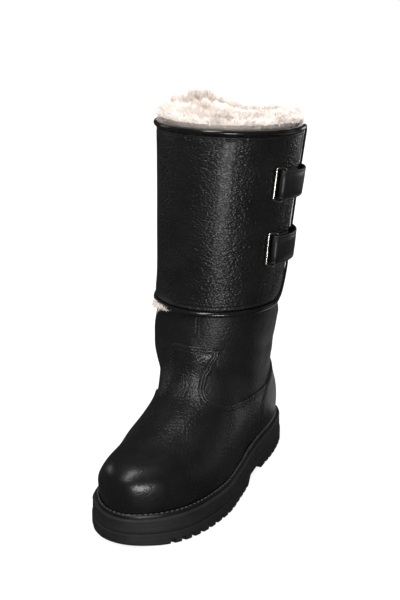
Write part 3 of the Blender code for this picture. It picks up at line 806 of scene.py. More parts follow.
@dataclass(frozen=True)
class Leather(Finish):
    """Full-grain cowhide, drum-dyed through, plated and waxed: soft pebbles with light on their crowns."""

    pebble: Span = (2.5, 1.8)
    depth: float = 0.22
    pores: float = 0.02
    pulled_flat: float = 0.25
    wax: float = 0.12
    scuff: str = "#3a3836"
    patch: float = 28.0
    handling: float = 16.0
    gloss_spread: float = 0.06
    coat_gain: float = 0.1

    def dress(self, tree: Tree, where: Socket) -> dict:
        """Pebbles with fine valleys between them, pores, and wax worn off the edges.

        Args:
            tree: Node tree.
            where: Object coordinates.

        Returns:
            Inputs of the shader.
        """
        wide, high = (cells_per_metre(size) for size in self.pebble)
        cells = add_node(tree, "Mapping", 0, {"Vector": where, "Scale": (wide, wide, high)})
        drift = add_node(tree, "TexNoise", "Color", {"Vector": cells, "Scale": 0.5, "Detail": 2.0})
        shifted = {0: drift, 1: (1.5, 1.5, 1.5), 2: cells}
        warped = add_node(tree, "VectorMath", 0, shifted, operation="MULTIPLY_ADD")
        cell = {"Vector": warped, "Scale": 1.0, "Smoothness": 0.35}
        away = add_node(tree, "TexVoronoi", "Distance", cell, feature="SMOOTH_F1")
        domes = add_node(tree, "Math", 0, {0: away, 1: away}, operation="MULTIPLY")
        pores = add_node(tree, "TexNoise", "Fac", {"Vector": cells, "Scale": 4.5, "Detail": 3.0})
        pulled = add_node(tree, "Attribute", "Fac", attribute_name="stretch")
        full = self.depth * MM
        flattened = {"Value": pulled, "To Min": full, "To Max": self.pulled_flat * full}
        relief = add_node(tree, "MapRange", 0, flattened)
        raised = {"Height": domes, "Strength": 1.0, "Distance": relief}
        pebbled = add_node(tree, "Bump", 0, raised, invert=True)
        pitted = {"Height": pores, "Strength": 1.0, "Distance": self.pores * MM, "Normal": pebbled}
        fine = add_node(tree, "Bump", 0, pitted)

        worn = add_node(tree, "Attribute", "Fac", attribute_name="wear")
        rubbed = add_node(tree, "Math", 0, {0: worn, 1: pores}, operation="MULTIPLY")
        dyed = {0: rubbed, 6: self.tone(tree, where, self.patch), 7: srgb(self.scuff)}
        colour = add_node(tree, "Mix", 2, dyed, data_type="RGBA")

        handled = add_node(tree, "TexNoise", "Fac", sized(where, self.handling))
        dull, bright = self.roughness + self.gloss_spread, self.roughness - self.gloss_spread
        waxed = {"Value": handled, "From Min": 0.3, "From Max": 0.7, "To Min": bright, "To Max": dull}
        return {
            "Normal": fine,
            "Base Color": colour,
            "Roughness": add_node(tree, "MapRange", 0, waxed),
            "IOR": 1.48,
            "Coat Weight": self.wax,
            "Coat Roughness": self.roughness - self.coat_gain,
        }


@dataclass(frozen=True)
class Rubber(Finish):
    """Carbon-black rubber, moulded in a sparked steel mould: matt, with a fine skin and faint flow lines."""

    # Spark grit is about 0.1 mm across, too fine to show, so it is drawn as coarse as this.
    grit: float = 0.7
    grit_depth: float = 0.08
    flow: float = 14.0
    flow_depth: float = 0.12
    bloom: float = 9.0

    def dress(self, tree: Tree, where: Socket) -> dict:
        """Spark grit, level flow lines and a dusty bloom.

        Args:
            tree: Node tree.
            where: Object coordinates.

        Returns:
            Inputs of the shader.
        """
        grit = add_node(tree, "TexNoise", "Fac", sized(where, self.grit, Detail=3.0))
        flowing = sized(where, self.flow, Distortion=2.0, Detail=2.0)
        lines = add_node(tree, "TexWave", "Fac", flowing, bands_direction="Z")
        wavy = {"Height": lines, "Strength": 0.5, "Distance": self.flow_depth * MM}
        lined = add_node(tree, "Bump", 0, wavy)
        rough = {"Height": grit, "Strength": 0.6, "Distance": self.grit_depth * MM, "Normal": lined}
        return {
            "Normal": add_node(tree, "Bump", 0, rough),
            "Base Color": self.tone(tree, where, self.bloom),
            "Roughness": self.roughness,
            "IOR": 1.52,
        }


@dataclass(frozen=True)
class Steel(Finish):
    """Round steel wire, bent and nickel plated: a bright mirror with a few fine rubs."""

    rub: float = 1.2
    dulling: float = 0.16
    patch: float = 4.0

    def dress(self, tree: Tree, where: Socket) -> dict:
        """Fine rubs that dull the plating here and there.

        Args:
            tree: Node tree.
            where: Object coordinates.

        Returns:
            Inputs of the shader.
        """
        rubs = add_node(tree, "TexNoise", "Fac", sized(where, self.rub, Detail=4.0))
        dull = self.roughness + self.dulling
        plated = {"Value": rubs, "From Min": 0.35, "From Max": 0.75, "To Min": self.roughness, "To Max": dull}
        return {
            "Roughness": add_node(tree, "MapRange", 0, plated),
            "Base Color": self.tone(tree, where, self.patch),
            "Metallic": 1.0,
        }


@dataclass(frozen=True)
class Wool(Finish):
    """Tanned sheepskin with its wool left long and combed: matt cream fibres with darker roots and tips."""

    # Wool is about 0.03 mm thick, too fine to show, so its curls are drawn as coarse as this.
    fibre: float = 0.6
    pile: float = 0.5
    patch: float = 7.0
    patch_share: float = 0.35
    sheen: float = 0.35

    def dress(self, tree: Tree, where: Socket) -> dict:
        """Cream and tan from each fibre's own tint, with a soft sheen.

        Args:
            tree: Node tree.
            where: Object coordinates.

        Returns:
            Inputs of the shader.
        """
        tint = add_node(tree, "Attribute", "Fac", attribute_name="tint")
        drift = add_node(tree, "TexNoise", "Fac", sized(where, self.patch, Detail=3.0))
        tinted = {0: drift, 1: self.patch_share, 2: tint}
        mixed = add_node(tree, "Math", 0, tinted, operation="MULTIPLY_ADD")
        colour = add_node(tree, "ValToRGB", "Color", {"Fac": mixed})
        set_stops(colour.node, (0.12, self.colour), (0.95, self.shade))
        curls = add_node(tree, "TexNoise", "Fac", sized(where, self.fibre, Detail=2.0))
        piled = {"Height": curls, "Strength": 0.7, "Distance": self.pile * MM}
        return {
            "Base Color": colour,
            "Normal": add_node(tree, "Bump", 0, piled),
            "Roughness": self.roughness,
            "Sheen Weight": self.sheen,
            "Sheen Roughness": 0.5,
        }


@dataclass(frozen=True)
class Thread(Finish):
    """Bonded polyester thread, waxed: thin black cord whose twist gives it a broken gleam."""

    # The plies lie 0.5 mm apart, too fine to show, so they are drawn six times as coarse.
    twist: float = 3.0
    ply_depth: float = 0.12
    patch: float = 3.0

    def dress(self, tree: Tree, where: Socket) -> dict:
        """Ply twist as a fine slanting wave.

        Args:
            tree: Node tree.
            where: Object coordinates.

        Returns:
            Inputs of the shader.
        """
        twisted = sized(where, self.twist, Distortion=1.0)
        plies = add_node(tree, "TexWave", "Fac", twisted, bands_direction="DIAGONAL")
        wound = {"Height": plies, "Strength": 0.6, "Distance": self.ply_depth * MM}
        return {
            "Normal": add_node(tree, "Bump", 0, wound),
            "Base Color": self.tone(tree, where, self.patch),
            "Roughness": self.roughness,
            "IOR": 1.55,
        }


@dataclass(frozen=True)
class Floor(Finish):
    """Seamless studio paper that glows an even white, painted a little dimmer round the boot as a faint soft
    painted shadow; the boot's own shadow from the lamps falls on it too.
    """

    # Reach of the painted shadow round the boot.
    spread: float = 1300.0
    patch: float = 400.0
    # Share of the glow left under the painted shadow next to the boot.
    painted_shadow_glow: float = 0.86

    def dress(self, tree: Tree, where: Socket) -> dict:
        """White glow painted a little weaker round the boot, a painted shadow that deepens the boot's own
        shadow there.

        Args:
            tree: Node tree.
            where: Object coordinates.

        Returns:
            Inputs of the shader.
        """
        # Painted shadow: the glow fades from full far out to the painted-shadow share near the boot.
        size = cells_per_metre(self.spread)
        near = add_node(tree, "Mapping", 0, {"Vector": where, "Scale": (size, size, size)})
        middle = add_node(tree, "TexGradient", "Fac", {"Vector": near}, gradient_type="SPHERICAL")
        painted_shadow_strength = {"Value": middle, "From Max": 0.8, "To Min": 1.0, "To Max": self.painted_shadow_glow}
        return {
            "Emission Strength": add_node(tree, "MapRange", 0, painted_shadow_strength),
            "Emission Color": (1.0, 1.0, 1.0, 1.0),
            "Base Color": self.tone(tree, where, self.patch),
            "Roughness": self.roughness,
            "Specular IOR Level": 0.0,
        }


class Finishes(Enum):
    """Every finish on the boot."""

    SHAFT = Leather("pebbled_cowhide_shaft", "#151414", "#0e0d0d", 0.46, pebble=(2.5, 1.7), depth=0.36)
    VAMP = Leather("pebbled_cowhide_vamp", "#151414", "#0e0d0d", 0.30, pebble=(2.2, 1.7), depth=0.34)
    COUNTER = Leather("pebbled_cowhide_counter", "#151414", "#0e0d0d", 0.36, pebble=(2.3, 1.7), depth=0.28)
    CUFF = Leather("pebbled_cowhide_cuff", "#161515", "#0f0e0e", 0.32, pebble=(2.6, 1.6), depth=0.60)
    PIPING = Leather(
        "rolled_cowhide_piping", "#131212", "#0c0b0b", 0.22, pebble=(1.4, 1.4), depth=0.05, wax=0.7
    )
    STRAP = Leather("plated_cowhide_strap", "#171616", "#0e0d0d", 0.40, pebble=(1.3, 1.3), depth=0.06)
    WELT = Leather("ribbed_leather_welt", "#141313", "#0d0c0c", 0.42, pebble=(1.2, 1.2), depth=0.06)
    SOLE = Rubber("moulded_black_rubber", "#1b1b1b", "#151515", 0.62)
    RING = Steel("nickel_plated_steel_wire", "#d6d4ce", "#b9b6ae", 0.14)
    FUR = Wool("combed_sheepskin_wool", "#fffaf6", "#cdbbac", 0.85)
    LINING = Wool("cropped_sheepskin_lining", "#fbf3e6", "#cdb79c", 0.9, fibre=1.1)
    THREAD = Thread("bonded_polyester_thread", "#222222", "#141414", 0.4)
    # Welt thread: its own dark colour painted lighter than the other thread, so that its stitches show as the
    # bright dashes of a painted highlight.
    WELT_THREAD = Thread("welt_thread_painted_highlight", "#40403f", "#2a2a29", 0.36)
    FLOOR = Floor("studio_paper", "#7c7c7b", "#7a7a79", 0.9)


def add_piece(
    name: str,
    points: Array,
    faces: Sequence[Sequence[int]],
    finish: Finishes,
    replaces: Sequence[str] = (),
    attributes: dict[str, Array] | None = None,
    sharp: float | None = None,
) -> bpy.types.Object:
    """Make one piece of the boot and hang it on the body.

    Args:
        name: Name of the piece.
        points: Points in millimetres in the boot's own frame.
        faces: Corner numbers of each face.
        finish: Its finish.
        replaces: CAD nodes that it stands for.
        attributes: Named values, one a point.
        sharp: Angle in radians above which an edge is shaded sharp.

    Returns:
        The piece.
    """
    mesh = bpy.data.meshes.new(name)
    places = (np.asarray(points) + SHIFT) * MM
    mesh.from_pydata(places.tolist(), [], [tuple(map(int, face)) for face in faces])
    mesh.materials.append(finish.value.material())
    mesh.shade_smooth()
    if sharp is not None:
        mesh.set_sharp_from_angle(angle=sharp)
    for key, values in (attributes or {}).items():
        mesh.attributes.new(key, "FLOAT", "POINT").data.foreach_set("value", np.asarray(values, np.float32))
    piece = bpy.data.objects.new(name, mesh)
    bpy.context.scene.collection.objects.link(piece)
    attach(piece, BODY)
    if replaces:
        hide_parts(*replaces)
    LOG.info("%s: %d points, %d faces", name, len(points), len(faces))
    return piece


def grid_quads(rows: int, columns: int, closed: bool) -> Array:
    """Faces of a grid of points laid row by row.

    Args:
        rows: Number of rows.
        columns: Points in a row.
        closed: Whether each row returns to its first point.

    Returns:
        Four corner numbers for each face.
    """
    row, col = np.meshgrid(np.arange(rows - 1), np.arange(columns if closed else columns - 1), indexing="ij")
    a = row * columns + col
    b = row * columns + (col + 1) % columns
    return np.stack([a, b, b + columns, a + columns], -1).reshape(-1, 4)


def tube(path: Array, radius: Array, sides: int, closed: bool) -> tuple[Array, Array]:
    """Round tube along a path.

    Args:
        path: Points along its middle.
        radius: Radius at each point.
        sides: Points round it.
        closed: Whether the path returns to its start.

    Returns:
        Points and faces.
    """
    if closed:
        along = np.roll(path, -1, axis=0) - np.roll(path, 1, axis=0)
    else:
        along = np.gradient(path, axis=0)
    along = unit(along)
    first = np.cross(along[0], (0.0, 0.0, 1.0) if abs(along[0, 2]) < 0.8 else (0.0, 1.0, 0.0))
    side = [unit(first)]
    for way in along[1:]:
        side.append(unit(side[-1] - way * np.dot(side[-1], way)))
    side = np.array(side)
    if closed:
        back = unit(side[-1] - along[0] * np.dot(side[-1], along[0]))
        twist = np.arctan2(np.dot(np.cross(back, side[0]), along[0]), np.dot(back, side[0]))
        turn = np.linspace(0.0, twist, len(path))[:, None]
        side = side * np.cos(turn) + np.cross(along, side) * np.sin(turn)
    other = np.cross(along, side)
    angles = np.linspace(0.0, 2 * pi, sides, endpoint=False)
    ring = side[:, None] * np.cos(angles)[:, None] + other[:, None] * np.sin(angles)[:, None]
    points = path[:, None] + ring * np.broadcast_to(radius, len(path))[:, None, None]
    faces = grid_quads(len(path) + (1 if closed else 0), sides, True) % (len(path) * sides)
    return points.reshape(-1, 3), faces


@dataclass
class Stitches:
    """Lock stitches of one length and radius, laid along lines and joined to one mesh."""

    length: float
    radius: float
    points: list[Array] = field(default_factory=list)
    faces: list[Array] = field(default_factory=list)
    count: int = 0

    def row(self, line: Array, out: Callable[[Array], Array], pitch: float) -> None:
        """Lay one row of stitches.

        Args:
            line: Points along the row, on the leather.
            out: Gives the direction out of the leather at points.
            pitch: Distance from stitch to stitch.
        """
        knots = paced(line, pitch)
        middle = 0.5 * (knots[:-1] + knots[1:])
        along = unit(np.diff(knots, axis=0))
        up = out(middle)
        up = unit(up - along * np.sum(up * along, axis=1, keepdims=True))
        side = np.cross(along, up)
        stations = np.array([-1.0, -0.8, -0.4, 0.0, 0.4, 0.8, 1.0])
        girth = self.radius * np.array([0.35, 0.75, 0.97, 1.0, 0.97, 0.75, 0.35])
        sink = self.radius * np.array([-0.9, -0.35, 0.1, 0.2, 0.1, -0.35, -0.9])
        angles = np.linspace(0.0, 2 * pi, 6, endpoint=False)
        sides = len(angles)
        spot = middle[:, None, None] + along[:, None, None] * (0.5 * self.length * stations)[:, None, None]
        ring = side[:, None, None] * np.cos(angles)[:, None] + up[:, None, None] * np.sin(angles)[:, None]
        points = spot + ring * girth[:, None, None] + up[:, None, None] * sink[:, None, None]
        quads = grid_quads(len(stations), sides, True)
        stride = len(stations) * sides
        starts = self.count + stride * np.arange(len(middle))
        self.points.append(points.reshape(-1, 3))
        self.faces.append((quads[None] + starts[:, None, None]).reshape(-1, 4))
        self.count += stride * len(middle)

    def add(self, name: str, finish: Finishes, slot: str) -> None:
        """Join the rows to one piece with a name and a finish; the slot is not used."""
        add_piece(name, np.concatenate(self.points), np.concatenate(self.faces), finish)


def crease_lift(points: Array, creases: Sequence[Crease]) -> Array:
    """Rise of the leather from its soft creases.

    Args:
        points: Points on the leather.
        creases: Troughs and ridges.

    Returns:
        Lift at each point.
    """
    lift = np.zeros(points.shape[:-1])
    for crease in creases:
        share = np.linspace(0.0, 1.0, 9)
        turns = crease.turn_a + (crease.turn_b - crease.turn_a) * share
        levels = crease.level_a + (crease.level_b - crease.level_a) * share
        line = LAST.skin(turns, levels)
        nearest = np.full(points.shape[:-1], np.inf)
        for start, end in zip(line[:-1], line[1:]):
            way = end - start
            along = np.clip((points - start) @ way / (way @ way), 0.0, 1.0)
            nearest = np.minimum(nearest, np.linalg.norm(points - start - along[..., None] * way, axis=-1))
        lift += crease.rise * np.exp(-((nearest / crease.width) ** 2))
    return lift


def ripple(points: Array, size: float, seed: int) -> Array:
    """Gentle unevenness of a hand-lasted or moulded surface, between -1 and 1.

    Args:
        points: Points on the surface.
        size: Width of one wave.
        seed: Which of the patterns.

    Returns:
        Unevenness at each point.
    """
    draw = np.random.default_rng(seed)
    total = np.zeros(points.shape[:-1])
    waves = 7
    for _ in range(waves):
        way = unit(draw.normal(size=3))
        total += np.sin(2 * pi * (points @ way) / (size * draw.uniform(0.7, 1.5)) + draw.uniform(0.0, 2 * pi))
    return total / waves


def foot_relief(turns: Array, levels: Array) -> Array:
    """Rise of the upper's leather from its creases and its slight unevenness.

    Args:
        turns: Turns round the boot.
        levels: Levels.

    Returns:
        Lift at each place, none at the welt, under the cuff and at the back of the heel.
    """
    skin = LAST.skin(turns, levels)
    free = ease(levels, *BREAKS_BEGIN) * (1 - ease(levels, *BREAKS_END))
    free = free * ease(np.abs(turns % 1.0 - 0.5), *BREAKS_OFF_HEEL)
    height, width = HAND_WAVE
    return free * (crease_lift(skin, ANKLE_CREASES) + height * ripple(skin, width, 3))


@dataclass
class Outsole:
    """One-piece rubber unit with lugs, notches and slots."""

    stations: int = 520
    across: int = 44
    course_points: int = 4001
    lip: float = 11.0
    edge_round: float = 1.6
    side_step: float = 0.8
    groove: float = 0.55
    wave: float = 0.1
    lug_pitch: float = 10.7
    flank: float = 0.7
    notch_half: float = 1.7
    notch_length: float = 14.0
    notch_end: float = 2.0
    notch_depth: float = 4.0
    notch_slope: float = 0.9
    notch_inset: float = 6.0
    slot_half: float = 2.2
    slot_share: float = 0.18
    slot_end: float = 0.02
    unevenness: Span = (0.08, 22.0)
    sharp: float = 50.0
    runs: tuple[Span, ...] = ((-124.5, -2.0), (58.0, 118.0))

    def __post_init__(self) -> None:
        """Space angles evenly along the outer edge and mark the notches, and a slot in every other lug."""
        fine = np.linspace(0.0, pi, self.course_points)
        gone = travelled(SOLE.edge(fine))
        self.half = np.interp(np.linspace(0.0, gone[-1], self.stations), gone, fine)
        notches: list[float] = []
        slots: list[float] = []
        for front, back in self.runs:
            low, high = np.interp(SOLE.angle_of((back, front)), fine, gone)
            marks = np.linspace(low, high, int(round((high - low) / self.lug_pitch)) + 1)
            notches.extend(marks)
            slots.extend(0.5 * (marks[:-1:2] + marks[1::2]))
        places = np.interp(self.half, fine, gone)
        self.notch = self.cut(places, notches, self.notch_half)
        self.slot = self.cut(places, slots, self.slot_half)

    def cut(self, places: Array, marks: Sequence[float], half: float) -> Array:
        """Share of a cut at places along the edge, from the cuts' middles and half the width of one."""
        away = np.abs(places[:, None] - np.asarray(marks)).min(axis=1)
        return 1 - ease(away, half - self.flank, half + self.flank)

    def section(self) -> list[WallRow]:
        """Rows of the wall, from the lip on top over the side step and its groove down to the tread.

        Returns:
            The rows.
        """
        step, rounding, groove = self.side_step, self.edge_round, self.side_step + self.groove
        rows = [WallRow(self.lip, 1.0), WallRow(step + rounding, 1.0)]
        rows += [WallRow(step + 0.5, 1.0, -0.4), WallRow(step, 1.0, -rounding)]
        rows += [WallRow(step + self.wave * sin(9.0 * share), share) for share in np.linspace(0.9, 0.52, 14)]
        rows += [WallRow(step, 0.49), WallRow(groove, 0.475), WallRow(groove, 0.46), WallRow(0.05, 0.435)]
        rows += [WallRow(0.0, share) for share in np.linspace(0.41, 0.3, 5)]
        rows += [WallRow(0.0, 0.0, rise) for rise in (6.2, 5.6, 5.0, 4.4, 3.8, 3.2, 2.4)]
        rows += [WallRow(0.12, 0.0, 1.2), WallRow(0.5, 0.0, 0.5), WallRow(1.0, 0.0, 0.15)]
        return rows + [WallRow(rounding, 0.0)]

    def wall(self) -> tuple[Array, Array]:
        """Top lip and side of the sole, with its notches.

        Returns:
            Points and faces.
        """
        ring = np.concatenate([self.half, -self.half[-2:0:-1]])
        ring_notch = np.concatenate([self.notch, self.notch[-2:0:-1]])
        y = SOLE.edge(ring)[:, 1]
        low, high = SOLE.bottom(y), SOLE.top(y)
        rows = []
        for inset, share, rise in self.section():
            z = low + share * (high - low) + rise
            above = ease(z, self.notch_depth - self.notch_slope, self.notch_depth + self.notch_slope)
            depth = inset + self.notch_inset * (ring_notch * (1 - above))
            rows.append(np.column_stack([SOLE.inset(ring, depth), z]))
        return np.concatenate(rows), grid_quads(len(rows), len(ring), True)[:, ::-1]

    def bed(self) -> tuple[Array, Array]:
        """Underside of the sole, with its notches and slots.

        Returns:
            Points and faces.
        """
        outer, inner = (SOLE.inset(angles, self.edge_round) for angles in (self.half, -self.half))
        even = np.linspace(0.0, 1.0, self.across)
        share = 0.5 * (0.5 - 0.5 * np.cos(pi * even)) + 0.5 * even
        plan = outer[:, None] * (1 - share)[:, None] + inner[:, None] * share[:, None]
        width = np.linalg.norm(outer - inner, axis=1)[:, None]
        from_edge = width * np.minimum(share, 1 - share)
        notch_past = ease(from_edge, self.notch_length - self.notch_end, self.notch_length)
        from_middle = np.abs(share - 0.5)
        slot_past = ease(from_middle, self.slot_share - self.slot_end, self.slot_share + self.slot_end)
        cut = np.maximum(self.notch[:, None] * (1 - notch_past), self.slot[:, None] * (1 - slot_past))
        z = np.maximum(SOLE.bottom(plan[..., 1]), self.notch_depth * cut)
        points = np.concatenate([plan, z[..., None]], -1).reshape(-1, 3)
        return points, grid_quads(self.stations, self.across, False)

    def build(self) -> None:
        """Side wall, top lip and tread of the sole."""
        wall, wall_faces = self.wall()
        bed, bed_faces = self.bed()
        points = np.concatenate([wall, bed])
        faces = np.concatenate([wall_faces, bed_faces + len(wall)])
        height, width = self.unevenness
        lift = height * ripple(points, width, 5)
        points = points + np.column_stack([lift, lift, 0 * lift])
        sharp = radians(self.sharp)
        add_piece("rubber_sole", points, faces, Finishes.SOLE, ["outsole"], sharp=sharp)


@dataclass
class Welt:
    """Strip round the upper with its stitched rib."""

    turns: int = 720
    edge_inset: float = 3.8
    upper_lift: float = 0.6
    stitch: Span = (3.6, 0.75)
    stitch_place: Pair = Pair(0.36, 2.9)
    pitch: float = 4.7

    def row(self, turns: Array, share: float, rise: float) -> Array:
        """Points along the welt.

        Args:
            turns: Turns round the boot.
            share: Way from the sole's edge to the upper.
            rise: Height over the sole.

        Returns:
            Points.
        """
        angle = pi * (1 - 2 * turns)
        plan = SOLE.inset(angle, self.edge_inset)
        outer = np.column_stack([plan, SOLE.top(plan[:, 1]) + rise])
        inner = LAST.surface(turns, LAST.feather + rise, self.upper_lift)
        points = outer * (1 - share) + inner * share
        points[:, 2] = SOLE.top(points[:, 1]) + rise
        return points

    def build(self) -> None:
        """Ribbed strip and its stitches."""
        turns = np.arange(self.turns) / self.turns
        rows = [self.row(turns, share, rise) for share, rise in WELT_PROFILE]
        faces = grid_quads(len(rows), self.turns, True)
        add_piece("sewn_welt", np.concatenate(rows), faces, Finishes.WELT, ["welt"])
        seam = Stitches(*self.stitch)
        seam.row(self.row(np.append(turns, 1.0), *self.stitch_place), always(UP), self.pitch)
        seam.add("welt_stitches", Finishes.WELT_THREAD, "welt_leather")


@dataclass
class Footbed:
    """Wool-covered insole inside the foot."""

    stations: int = 160
    across: int = 34
    thickness: float = 4.0
    pile: float = 0.7
    skirt: float = 0.02

    def build(self) -> None:
        """Pile surface over the insole board."""
        turns = 0.5 * np.arange(1, self.stations) / self.stations
        depth = -(LAST.wall + 2 * GAP)
        outer = LAST.surface(turns, LAST.feather, depth)
        inner = LAST.surface(-turns, LAST.feather, depth)
        share = np.linspace(0.0, 1.0, self.across)[:, None]
        points = outer[:, None] * (1 - share) + inner[:, None] * share
        fluff = ripple(points, 5.0, 11) + ripple(points, 2.6, 12)
        edge = np.minimum(share, 1 - share)[:, 0]
        skirt = 1 - ease(edge, 0.0, self.skirt)
        top = SOLE.top(points[..., 1]) + GAP + self.thickness + self.pile * fluff
        points[..., 2] = top - self.thickness * skirt
        flat = points.reshape(-1, 3)
        tint = 0.25 + 0.2 * ripple(flat, 9.0, 13)
        faces = grid_quads(self.stations - 1, self.across, False)[:, ::-1]
        add_piece("wool_footbed", flat, faces, Finishes.LINING, ["insole"], {"tint": tint})


@dataclass
class Upper:
    """Lasted leather upper with its shaft and cropped lining."""

    turns: int = 264
    foot_rows: int = 120
    shaft_rows: int = 24
    inner_rows: int = 26
    inner_shaft_rows: int = 8
    overlap: float = 6.0
    rim_rise: float = 0.4
    seam_turn: float = 0.012
    seam_points: tuple[float, ...] = (0.0, 0.8, 1.4, 2.0, 2.6, 3.6)
    seam_start: Span = (120.0, 126.0)
    seam_shape: tuple[Triple, Triple] = ((0.25, 1.7, 0.9), (-0.6, 0.0, 0.7))
    stitch: Span = (2.2, 0.4)
    stitch_levels: Span = (137.5, HEM + 1.0)
    stitch_half: float = 2.3
    stitch_lift: float = 0.35
    stitch_way: Triple = (0.0, -1.0, 0.1)
    pitch: float = 3.0
    lining_turns: int = 200
    lining_rows: int = 110
    lining_levels: Span = (LAST.feather + 4.0, SHAFT_TOP - 1.0)
    lining_depth: float = 1.6
    lining_pile: float = 0.9
    lining_front: float = -118.0

    def build(self) -> None:
        """Leather wall, front seam and lining."""
        self.build_wall()
        self.sew_front()
        self.line()

    def seam(self, turns: Array, level: float) -> Array:
        """Rise of the leather at the front seam: a groove between two soft ridges."""
        away = np.abs((turns - self.seam_turn + 0.5) % 1.0 - 0.5) * LAST.girth
        return ease(level, *self.seam_start) * sum(rise * swell(away, *at) for rise, *at in self.seam_shape)

    def build_wall(self) -> None:
        """Outside of the leather, its rim and its inside."""
        beside = np.array(self.seam_points)
        seam = np.concatenate([-beside[:0:-1], beside]) / LAST.girth + self.seam_turn
        turns = np.unique(np.concatenate([np.arange(self.turns) / self.turns, seam % 1.0]))
        foot = LAST.levels(LAST.feather, HEM + self.overlap, self.foot_rows)
        shaft = np.linspace(HEM + self.overlap, SHAFT_TOP, self.shaft_rows)[1:]
        rows = []
        for level in np.concatenate([foot, shaft]):
            rows.append(LAST.surface(turns, level, foot_relief(turns, level) + self.seam(turns, level)))
        rim = LAST.surface(turns, SHAFT_TOP, -0.5 * LAST.wall)
        rim[:, 2] += self.rim_rise
        rows.append(rim)
        shaft = np.linspace(SHAFT_TOP, HEM, self.inner_shaft_rows)
        foot = LAST.levels(LAST.feather, HEM, self.inner_rows)[-2::-1]
        for level in np.concatenate([shaft, foot]):
            rows.append(LAST.surface(turns, level, foot_relief(turns, level) - LAST.wall))
        faces = grid_quads(len(rows), len(turns), True)
        add_piece("lasted_upper", np.concatenate(rows), faces, Finishes.SHAFT, ["upper"])

    def sew_front(self) -> None:
        """Two rows of stitches beside the front seam of the shaft."""
        rows = Stitches(*self.stitch)
        levels = np.linspace(*self.stitch_levels, 40)
        for side in (-1.0, 1.0):
            turns = self.seam_turn + side * self.stitch_half / LAST.girth
            line = LAST.surface(turns, levels, self.stitch_lift)
            rows.row(line, always(self.stitch_way), self.pitch)
        rows.add("front_seam_stitches", Finishes.THREAD, "upper_leather")

    def line(self) -> None:
        """Cropped wool on the inside of the wall, left open over the toes."""
        turns = np.arange(self.lining_turns) / self.lining_turns
        rows = []
        for level in LAST.levels(*self.lining_levels, self.lining_rows):
            skin = LAST.skin(turns, level)
            fluff = 0.55 * ripple(skin, 5.5, 21) + 0.45 * ripple(skin, 2.8, 22)
            depth = LAST.wall + self.lining_depth - foot_relief(turns, level)
            rows.append(LAST.surface(turns, level, self.lining_pile * fluff - depth))
        points = np.concatenate(rows)
        tint = 0.25 + 0.2 * ripple(points, 10.0, 23)
        faces = grid_quads(self.lining_rows, self.lining_turns, True)[:, ::-1]
        toe = points[faces[:, 0], 1] < self.lining_front
        add_piece("shearling_lining", points, faces[~toe], Finishes.LINING, (), {"tint": tint})


def split_along(places: Array, values: Array, triangles: Array, level: float) -> tuple[Array, Array, Array]:
    """Split triangles along the line where a value has one level.

    Args:
        places: Turn and level of each point.
        values: Value at each point.
        triangles: Corner numbers.
        level: Value of the line.

    Returns:
        New places, values and triangles, none of which crosses the line.
    """
    away = values - level
    side = np.where(np.abs(away) < 1e-3, 0, np.sign(away)).astype(int)
    corners = side[triangles]
    crossing = (corners.max(axis=1) > 0) & (corners.min(axis=1) < 0)
    kept = triangles[~crossing].tolist()
    extra: list[Array] = []
    middles: dict[tuple[int, int], int] = {}
    for triangle in triangles[crossing].tolist():
        upper, lower = [], []
        for here, there in zip(triangle, triangle[1:] + triangle[:1]):
            if side[here] >= 0:
                upper.append(here)
            if side[here] <= 0:
                lower.append(here)
            if side[here] * side[there] < 0:
                key = (min(here, there), max(here, there))
                if key not in middles:
                    share = away[here] / (away[here] - away[there])
                    extra.append(places[here] + share * (places[there] - places[here]))
                    middles[key] = len(places) + len(extra) - 1
                upper.append(middles[key])
                lower.append(middles[key])
        for part in (upper, lower):
            kept += [[part[0], part[k], part[k + 1]] for k in range(1, len(part) - 1)]
    if extra:
        places = np.concatenate([places, np.array(extra)])
        values = np.concatenate([values, np.full(len(extra), level)])
    return places, values, np.array(kept)


def inside_polygon(places: Array, corners: Array) -> Array:
    """Which places lie inside a closed outline.

    Args:
        places: Places as turn and level.
        corners: Corners of the outline.

    Returns:
        True or false for each place.
    """
    inside = np.zeros(len(places), bool)
    x, y = places[:, 0], places[:, 1]
    for start, end in zip(corners, np.roll(corners, -1, axis=0)):
        if start[1] == end[1]:
            continue
        spans = (start[1] > y) != (end[1] > y)
        reach = start[0] + (y - start[1]) / (end[1] - start[1]) * (end[0] - start[0])
        inside ^= spans & (x < reach)
    return inside


def line_distance(points: Array, line: Array) -> Array:
    """Distance from points to a line.

    Args:
        points: Points.
        line: Corners of the line, close together.

    Returns:
        Distances.
    """
    nearest = finder(line)(points)
    best = np.full(len(points), np.inf)
    for first in (np.maximum(nearest - 1, 0), np.minimum(nearest, len(line) - 2)):
        start, way = line[first], line[first + 1] - line[first]
        along = np.sum((points - start) * way, axis=1) / np.maximum(np.sum(way * way, axis=1), 1e-9)
        along = np.clip(along, 0.0, 1.0)[:, None]
        best = np.minimum(best, np.linalg.norm(points - start - along * way, axis=1))
    return best


